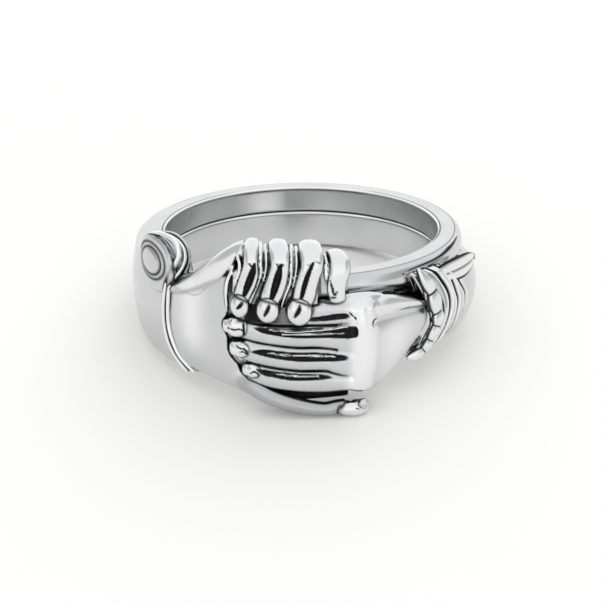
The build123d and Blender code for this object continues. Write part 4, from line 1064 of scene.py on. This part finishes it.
def rightPalm(p):
    s, h = rightSolids, rightHand
    x, distance, height = p.T
    angle, radius = places(p)
    top, bottom, face = palmWalls(h, height, angle)
    palm = within(radius - face, height - top, bottom - height, k=0.75)
    palm = within(palm, 10.5 - angle, (angle - h["mouth"]) * 0.19, k=0.3)
    for key, k in (("knuckles", 0.45), ("thumbBall", 0.34), ("thumbTip", 0.05)):
        palm = added(palm, [s[key]], k, p)
    inner = np.where(height < ring["lowerTop"], h["innerRadius"], ring["handRoom"])
    palm = within(palm, inner - radius, k=0.04)
    return np.maximum(palm, np.where(x < h["palmEnd"], h["palmFace"] - distance, -1.0))


def rightHandField(p):
    s = rightSolids
    out = added(np.full(len(p), farOff), s["fingers"], 0.03, p)
    out = taken(blend(out, rightPalm(p), 0.20), s["hollows"], 0.04, p)
    out = added(added(out, s["tips"], 0.025, p), s["ridges"], 0.02, p)
    return taken(out, s["lines"], 0.02, p)


def rightMeetings(p):
    # the dark lines between the fingers and behind their tips
    x, _, height = p.T
    fingers = [strandField(finger, p) for finger in rightSolids["fingers"]]
    marks = [meeting(nearestOf(rightSolids["tips"], p), np.min(fingers, axis=0), 0.06)]
    marks += [meeting(a, b, 0.12) * ramp(x, 3.2, -0.6) for a, b in zip(fingers, fingers[1:])]
    # and painted shade on the top of the first finger between the other hand's nails
    under = ramp(height, 1.74, 0.12) * window(x, (-3.5, 0.15), (0.45, -0.35))
    marks.append(under * (1 - 0.3 * bell(x + 1.1, 0.4)))
    # and painted shade on the last finger's underside
    marks.append(ramp(height, -2.42, -0.14) * ramp(x, 3.4, -0.3))
    return np.maximum.reduce(marks)


def hoopField(p):    # both hoops as one plain band, for the shade that they cast in recesses
    radius = places(p)[1]
    return np.maximum(np.abs(radius - 9.4) - 0.75, np.abs(p[:, 2] - 2.1) - 2.05)


def recess(p, normal, depths=(0.16, 0.34, 0.62)):
    # how shut in a point is: a step out along the normal should be that far from everything
    shut = np.zeros(len(p))
    for depth, weight in zip(depths, (0.30, 0.35, 0.35)):
        q = p + normal * depth
        free = np.minimum(np.minimum(leftHandField(q), rightHandField(q)), hoopField(q) + 0.2)
        shut += weight * np.clip(1 - free / depth, 0, 1)
    return shut


def leftInward(p, normal):    # the palm's hidden face, seen when the ring is open, gets less painted shade
    middle, half = np.array(leftHand["hidden"])
    box = np.abs((p - middle) / half).max(axis=1)
    return 0.65 * ramp(box, 1.0, -0.15) * ramp(normal[:, 1], 0.4, 0.3)


def rightInward(p, normal):    # and so does the whole inner side of the other hand
    return 0.75 * ramp(-normal[:, 1], 0.25, 0.4)


def makeHand(name, half, table, solids, field, meetings, bright, inward, dark, light, outlined):
    # dark names the grooves and their strength, light the raised lines, which get a painted highlight, and
    # outlined the solids whose flanks get painted shade
    points, faces = skin(field, table["low"], table["high"], table["cell"])
    normal = slope(field, points)
    normal /= np.linalg.norm(normal, axis=1)[:, None] + 1e-9
    # painted shade where a point is shut in by the hands and hoops
    shut = recess(points, normal) * (1 - inward(points, normal))
    flank = smooth(1.3 - nearestOf(solids[outlined], points) / 0.05)
    marks = [ramp(shut, 0.30, 0.42), meetings(points),
             0.9 * ramp(np.abs(normal[:, 0]), 0.80, 0.12) * flank]
    marks += [strength * smooth(1 - nearestOf(solids[key], points) / 0.035) for key, strength in dark]
    raised = smooth(1 - np.abs(nearestOf(solids[light], points)) / 0.03)
    makePiece(name, fromRivet(*points.T), faces, half, np.maximum.reduce(marks) * (1 - 0.9 * raised),
              np.maximum(raised * 0.8, bright(points)))


# Trims, laid on the sleeves by angle, height and radius.

cuffTrim = {
    "sides": 20,
    # two round pipings: up the cuff's edge and round the flap; angle, height, radius
    "pipings": [
        [(-40.8, -2.36, 10.74), (-42.3, -2.07, 10.83), (-44.5, -1.66, 10.90), (-46.7, -1.10, 10.96),
         (-48.2, -0.58, 10.98), (-49.1, 0.20, 11.0), (-49.35, 0.85, 11.0), (-49.1, 1.80, 10.98),
         (-48.2, 2.90, 10.88), (-46.8, 3.55, 10.80), (-44.6, 4.30, 10.72), (-43.0, 4.90, 10.68),
         (-43.3, 5.28, 10.66), (-45.6, 5.70, 10.64), (-49.2, 5.82, 10.62), (-55.0, 5.72, 10.60),
         (-61.0, 5.22, 10.60), (-64.6, 4.35, 10.60), (-65.6, 3.4, 10.60)],
        [(-38.4, -2.36, 10.66), (-40.8, -1.95, 10.80), (-43.2, -1.55, 10.88), (-45.2, -0.95, 10.94),
         (-46.6, -0.35, 10.97), (-47.5, 0.30, 10.98), (-47.65, 0.95, 10.98), (-47.5, 1.80, 10.96),
         (-46.95, 2.80, 10.86), (-45.6, 3.30, 10.74), (-44.4, 3.72, 10.50), (-43.0, 4.30, 10.30),
         (-42.9, 4.95, 10.24), (-45.4, 5.42, 10.20), (-50.0, 5.62, 10.18), (-57.0, 5.48, 10.18),
         (-62.0, 5.0, 10.18), (-65.0, 4.2, 10.18)],
        [(-46.2, 3.0, 10.24), (-44.9, 3.45, 10.02), (-44.1, 3.95, 9.84), (-44.0, 4.55, 9.78),
         (-45.4, 5.08, 9.76), (-49.4, 5.48, 9.74), (-56.6, 5.44, 9.74), (-63.0, 5.0, 9.74),
         (-66.0, 4.3, 9.76)],
    ],
    "pipingRadius": [0.155, 0.115, 0.19], "crowding": 0.11,
    # the flap: across and up it as shares of its half sizes, and the radius there
    "flapCentre": (-54.6, 3.88), "flapHalf": (10.0, 1.80), "flapPower": 2.25,
    "flap": [(0.0, 0.0, 10.94), (0.3, 0.3, 10.96), (0.6, 0.6, 11.0), (0.80, 0.80, 11.02),
             (0.90, 0.90, 10.99), (0.97, 0.97, 10.90), (1.0, 1.0, 10.78), (1.0, 0.99, 10.66),
             (0.97, 0.94, 10.56), (0.93, 0.88, 10.46), (0.96, 0.90, 10.36), (0.99, 0.92, 10.24),
             (0.98, 0.90, 10.10), (0.92, 0.84, 9.98), (0.95, 0.85, 9.86), (0.97, 0.86, 9.74),
             (0.94, 0.83, 9.62), (0.88, 0.78, 9.52), (0.80, 0.66, 9.46), (0.6, 0.5, 9.44),
             (0.0, 0.0, 9.44)],
    # a plain domed button: share, radius
    "buttonCentre": (-55.6, 4.06), "buttonHalf": (7.0, 1.10),
    "button": [
        (0.0, 11.24), (0.25, 11.23), (0.5, 11.20), (0.66, 11.14), (0.76, 11.05), (0.80, 11.00),
        (0.84, 11.03), (0.90, 11.10), (0.96, 11.09), (1.0, 11.02), (1.03, 10.93), (1.06, 10.86),
        (0.9, 10.7), (0.0, 10.7)],
}
beadTrim = {
    # angle, height, radius of the middle line, half width and half height of the beads
    "line": [(39.6, 3.98, 10.84, 0.22, 0.24), (41.3, 3.38, 10.95, 0.36, 0.28),
             (43.8, 2.66, 11.05, 0.50, 0.30), (45.1, 2.0, 11.09, 0.56, 0.31),
             (46.3, 1.24, 11.12, 0.56, 0.31), (46.9, 0.55, 11.12, 0.53, 0.31),
             (45.7, -0.08, 11.08, 0.48, 0.30), (44.2, -0.56, 11.02, 0.44, 0.29),
             (42.4, -1.08, 10.93, 0.39, 0.28), (39.9, -1.38, 10.82, 0.36, 0.28),
             (36.6, -1.50, 10.70, 0.32, 0.28)],
    # where the necks between the beads are along the line
    "necks": [0.0, 0.265, 0.475, 0.605, 0.745, 0.85, 1.0],
    "neck": 0.56, "neckDark": 0.07, "sides": 40, "steps": 30,
}
tabTrim = {
    # angle, height, radius, half height
    "line": [(50, 3.0, 10.70, 0.50), (54, 3.1, 10.86, 0.64), (58, 3.14, 11.03, 0.74),
             (61.5, 3.2, 11.17, 0.72), (65, 3.26, 11.25, 0.58), (67.5, 3.28, 11.26, 0.42),
             (69.3, 3.28, 11.24, 0.26)],
    "thick": 0.20, "lean": 10.0, "power": 3.0, "sides": 60, "steps": 60, "darkRows": 11,
    "groove": 0.30, "grooveWidth": 0.09,
    "slant": 3.2,    # degrees a millimetre by which the covered end runs on below
}


def alongRing(rows, count):    # a smooth line through rows of angle, height, radius; evenly spaced
    rows = np.array(rows, float)
    fine = evenly(rows, fromAxis(rows[:, 0], rows[:, 2], rows[:, 1]), count)[0]
    return fromAxis(fine[:, 0], fine[:, 2], fine[:, 1]), fromAxis(fine[:, 0], 1.0, 0.0), fine[:, 3:]


def discOnRing(centre, half, power, rows, count=72):
    # a closed form round a centre on the ring: each row is a loop, superellipse-shaped, with its
    # own share of the half sizes and its own radius from the axis
    rows = np.array(rows, float)
    if rows.shape[1] == 2:
        rows = rows[:, [0, 0, 1]]
    fine = evenly(rows, rows * [1.9, 1.9, 1.0], len(rows) * 3)[0][1:-1]
    loop = roundProfile(count, power)
    angle = centre[0] + fine[:, :1] * half[0] * loop[None, :, 0]
    height = centre[1] + fine[:, 1:2] * half[1] * loop[None, :, 1]
    points = fromAxis(angle, fine[:, 2:], height).reshape(-1, 3)
    return closed(points, gridFaces(len(fine), count), len(fine), count)


def rail(line, radius, sides, steps=120):
    path, out, _ = alongRing(line, steps)
    return rod(path, out, np.full((steps, 2), radius), roundProfile(sides))


def besideRod(points, path, radius, width):    # 1 against a rod, 0 at the width from it
    gaps = [((p * p).sum(axis=1)[:, None] - 2 * p @ path.T + (path * path).sum(axis=1)).min(axis=1)
            for p in np.array_split(points, 8)]
    return smooth(1.15 - (np.sqrt(np.maximum(np.concatenate(gaps), 0)) - radius) / width)


def makeCuffTrim():
    t = cuffTrim
    pipings = list(zip(t["pipings"], t["pipingRadius"]))
    points, faces, first = joined(
        [rail(line, radius, t["sides"]) for line, radius in pipings]
        + [discOnRing(t["flapCentre"], t["flapHalf"], t["flapPower"], t["flap"]),
           discOnRing(t["buttonCentre"], t["buttonHalf"], 2.0, t["button"])])
    angle, radius = around(points[:, 0], points[:, 1])
    off = np.hypot((angle - t["buttonCentre"][0]) / t["buttonHalf"][0],
                   (points[:, 2] - t["buttonCentre"][1]) / t["buttonHalf"][1])
    pipes = np.arange(len(points)) < first[2]
    tarnish = np.clip(bell(off - 0.79, 0.08) + bell(off - 1.07, 0.08), 0, 1) * (radius > 10.8) * ~pipes
    # dark lines: where a piping lies against another or the flap, and round the flap's rim
    loop = roundProfile(90, t["flapPower"]) * np.array(t["flapHalf"]) + np.array(t["flapCentre"])
    rims = [(alongRing(line, 240)[0], size) for line, size in pipings]
    outer, inner = [alongRing(line, 240)[0] for line in (t["pipings"][1][8:], t["pipings"][2])]
    rims += [(fromAxis(loop[:, 0], 10.86, loop[:, 1]), 0.02), ((rims[0][0] + rims[1][0]) / 2, 0.05),
             ((outer + inner) / 2, 0.09)]
    for i, (path, size) in enumerate(rims):
        others = np.ones(len(points), bool)
        others[first[i]:first[i + 1] if i < len(pipings) else first[i]] = False
        tarnish[others] = np.maximum(tarnish[others], besideRod(points[others], path, size, t["crowding"]))
    # the pipings get a painted highlight
    makePiece("cuffTrim", points, faces, upper, tarnish, pipes * 0.8)


def makeBeads():
    # one rod whose half sizes swell and narrow along it: each bead is a rounded block
    t = beadTrim
    count = (len(t["necks"]) - 1) * t["steps"] + 1
    path, out, half = alongRing(t["line"], count)
    share = np.interp(np.linspace(0, 1, count), t["necks"], np.arange(len(t["necks"])))
    barrel = between(t["neck"], 1, np.abs(np.sin(math.pi * share)) ** 0.6)
    across, profile = np.cross(out, np.gradient(path, axis=0)), roundProfile(t["sides"], 2.6)
    points, faces = rod(path, across, half * barrel[:, None], profile)
    neck = smooth((t["neckDark"] - np.abs(share - np.round(share))) / 0.05)
    neck = neck * (share > 0.5) * (share < share[-1] - 0.5)
    caps = (len(points) - 2) // t["sides"] - count
    neck = np.pad(neck, (caps // 2, caps - caps // 2))[:, None]
    # painted shade down both sides of the beads, and a painted highlight on the rest
    flank = 0.9 * ramp(np.abs(profile[:, 0]), 0.84, 0.08)
    marks = np.concatenate([np.maximum(neck, flank).ravel(), [0, 0]])
    makePiece("beads", points, faces, lower, marks, (1 - marks) * 0.55)


def makeTab():
    # a flat rounded tongue with a groove along its middle, leaning in at its top
    t = tabTrim
    path, out, half = alongRing(t["line"], t["steps"])
    across = unit(np.cross(out, np.gradient(path, axis=0)))
    lean = math.radians(t["lean"])
    across = across * np.sign(across[:, 2:]) * math.cos(lean) - out * math.sin(lean)
    profile = roundProfile(t["sides"], t["power"])
    groove = bell(profile[:, 0], t["grooveWidth"])
    profile[:, 1] *= 1 - t["groove"] * groove
    points, faces = rod(path, across, np.column_stack([half[:, 0], np.full(t["steps"], t["thick"])]),
                        profile, capRows=8)
    # painted shade along both edges and over the far end's rows, and a painted highlight on the rest
    edge = smooth((np.maximum(profile[:, 0], -profile[:, 0] + 0.10) - 0.80) / 0.08)
    rows = (len(points) - 2) // t["sides"]
    marks = np.concatenate([np.tile(np.maximum(groove ** 2 * 0.8, edge), rows), [1, 1]])
    marks[-2 - t["darkRows"] * t["sides"]:-2] = 1
    angle, radius = around(points[:, 0], points[:, 1])
    angle += t["slant"] * (t["line"][0][1] - points[:, 2]) * (1 - ramp(angle, 56, 10))
    makePiece("tab", fromAxis(angle, radius, points[:, 2]), faces, lower, marks, (1 - marks) * 0.6)


makeUpperHoop()
makeLowerHoop()
makeCuffTrim()
makeBeads()
makeTab()
makeHand("leftHand", upper, leftHand, leftSolids, leftHandField, leftMeetings, leftPaintedHighlight, leftInward,
         [("grooves", 1.0), ("thumbMarks", 0.9)], "webs", "fingers")
makeHand("rightHand", lower, rightHand, rightSolids, rightHandField, rightMeetings, rightPaintedHighlight,
         rightInward, [("hollows", 1.0), ("lines", 1.0)], "ridges", "tips")


# The camera stands where the photograph was taken from: the fit gives it in the upright ring.

view = {
    "distance": 110.0, "rise": 17.7198, "aim": 4.18,    # millimetres, degrees, height looked at
    "pan": -0.012546, "tilt": -2.570569, "roll": 0.636699, "focal": 1722.156, "frame": 605,
}


def makeCamera():
    v = view
    rise = math.radians(v["rise"])
    place = Vector((0, -v["distance"] * math.cos(rise), v["distance"] * math.sin(rise)))
    forward = -place.normalized()
    right = Vector((1, 0, 0))
    up = right.cross(forward)
    for axis, angle in (("up", v["pan"]), ("right", v["tilt"]), ("forward", v["roll"])):
        around = {"up": up, "right": right, "forward": forward}[axis]
        turn = Matrix.Rotation(math.radians(angle), 3, around)
        right, up, forward = turn @ right, turn @ up, turn @ forward
    s, c = turned()
    lean = Matrix(((1, 0, 0), (0, c, s), (0, -s, c)))
    axes = Matrix((lean @ right, lean @ up, lean @ -forward)).transposed().to_4x4()
    at = onTable(np.array([place.x, place.y, place.z + v["aim"]]))
    data = bpy.data.cameras.new("camera")
    data.sensor_width, data.lens = 36, 36 * v["focal"] / v["frame"]
    data.clip_start, data.clip_end = 0.01, 10
    camera = newObject("camera", data)
    camera.matrix_world = Matrix.Translation(Vector(at)) @ axes
    bpy.context.scene.camera = camera
    print("camera at", tuple(round(float(x), 4) for x in at))


stage = {
    "floorHalf": 1.2, "floorColour": (0.91, 0.91, 0.895, 1), "floorRoughness": 0.6,
    # the sky's light from below, at the horizon, and up to overhead, then that of its two dim sides
    "sky": [(0.0, 1.0), (0.49, 1.0), (0.53, 1.0), (0.62, 0.96), (0.75, 0.88), (1.0, 0.84)],
    "skyStrength": 1.20, "dimSides": 0.50, "dimFrom": 0.68, "dimTo": 0.90,
    # name, place, size across and along, power, all in metres and watts; each looks at the ring
    "lamps": [("key", (0.16, 0.10, 0.34), 0.44, 0.44, 0.26),
              ("fill", (-0.30, -0.12, 0.22), 0.22, 0.30, 0.06)],
    "lookAt": (0, 0, 0.004),
}


def makeStage():
    s = stage
    e = s["floorHalf"]
    mesh = bpy.data.meshes.new("floor")
    mesh.from_pydata([(-e, -e, 0), (e, -e, 0), (e, e, 0), (-e, e, 0)], [], [(0, 1, 2, 3)])
    floor = newObject("floor", mesh)
    material = bpy.data.materials.new("floor")
    material.use_nodes = True
    shader = material.node_tree.nodes["Principled BSDF"]
    shader.inputs["Base Color"].default_value = s["floorColour"]
    shader.inputs["Roughness"].default_value = s["floorRoughness"]
    mesh.materials.append(material)
    world = bpy.data.worlds.new("studio")
    bpy.context.scene.world = world
    world.use_nodes = True
    world.node_tree.nodes.clear()
    Value.tree = world.node_tree
    direction = Value.node("ShaderNodeTexCoord", out=0)
    height = Value.node("ShaderNodeSeparateXYZ", out=2, Vector=direction)
    sky = Value.node("ShaderNodeValToRGB", {"stops": s["sky"]}, Fac=height * 0.5 + 0.5)
    sideways = Value.node("ShaderNodeSeparateXYZ", out=0, Vector=direction).math("ABSOLUTE")
    dim = Value.node("ShaderNodeMapRange", {"interpolation_type": "SMOOTHSTEP"}, i0=sideways,
                     i1=s["dimFrom"], i2=s["dimTo"], i3=1.0, i4=s["dimSides"])
    back = Value.node("ShaderNodeBackground", Color=sky, Strength=dim * s["skyStrength"])
    Value.node("ShaderNodeOutputWorld", Surface=back)
    for name, place, across, along, power in s["lamps"]:
        data = bpy.data.lights.new(name, "AREA")
        data.shape, data.size, data.size_y, data.energy = "RECTANGLE", across, along, power
        lamp = newObject(name, data)
        lamp.location = place
        lamp.visible_glossy = False    # the silver mirrors the sky alone, without hard-edged lamps
        away = Vector(s["lookAt"]) - Vector(place)
        lamp.rotation_euler = away.to_track_quat("-Z", "Y").to_euler()
    bpy.context.scene.view_settings.view_transform = "Standard"
    print("stage made")


makeCamera()
makeStage()
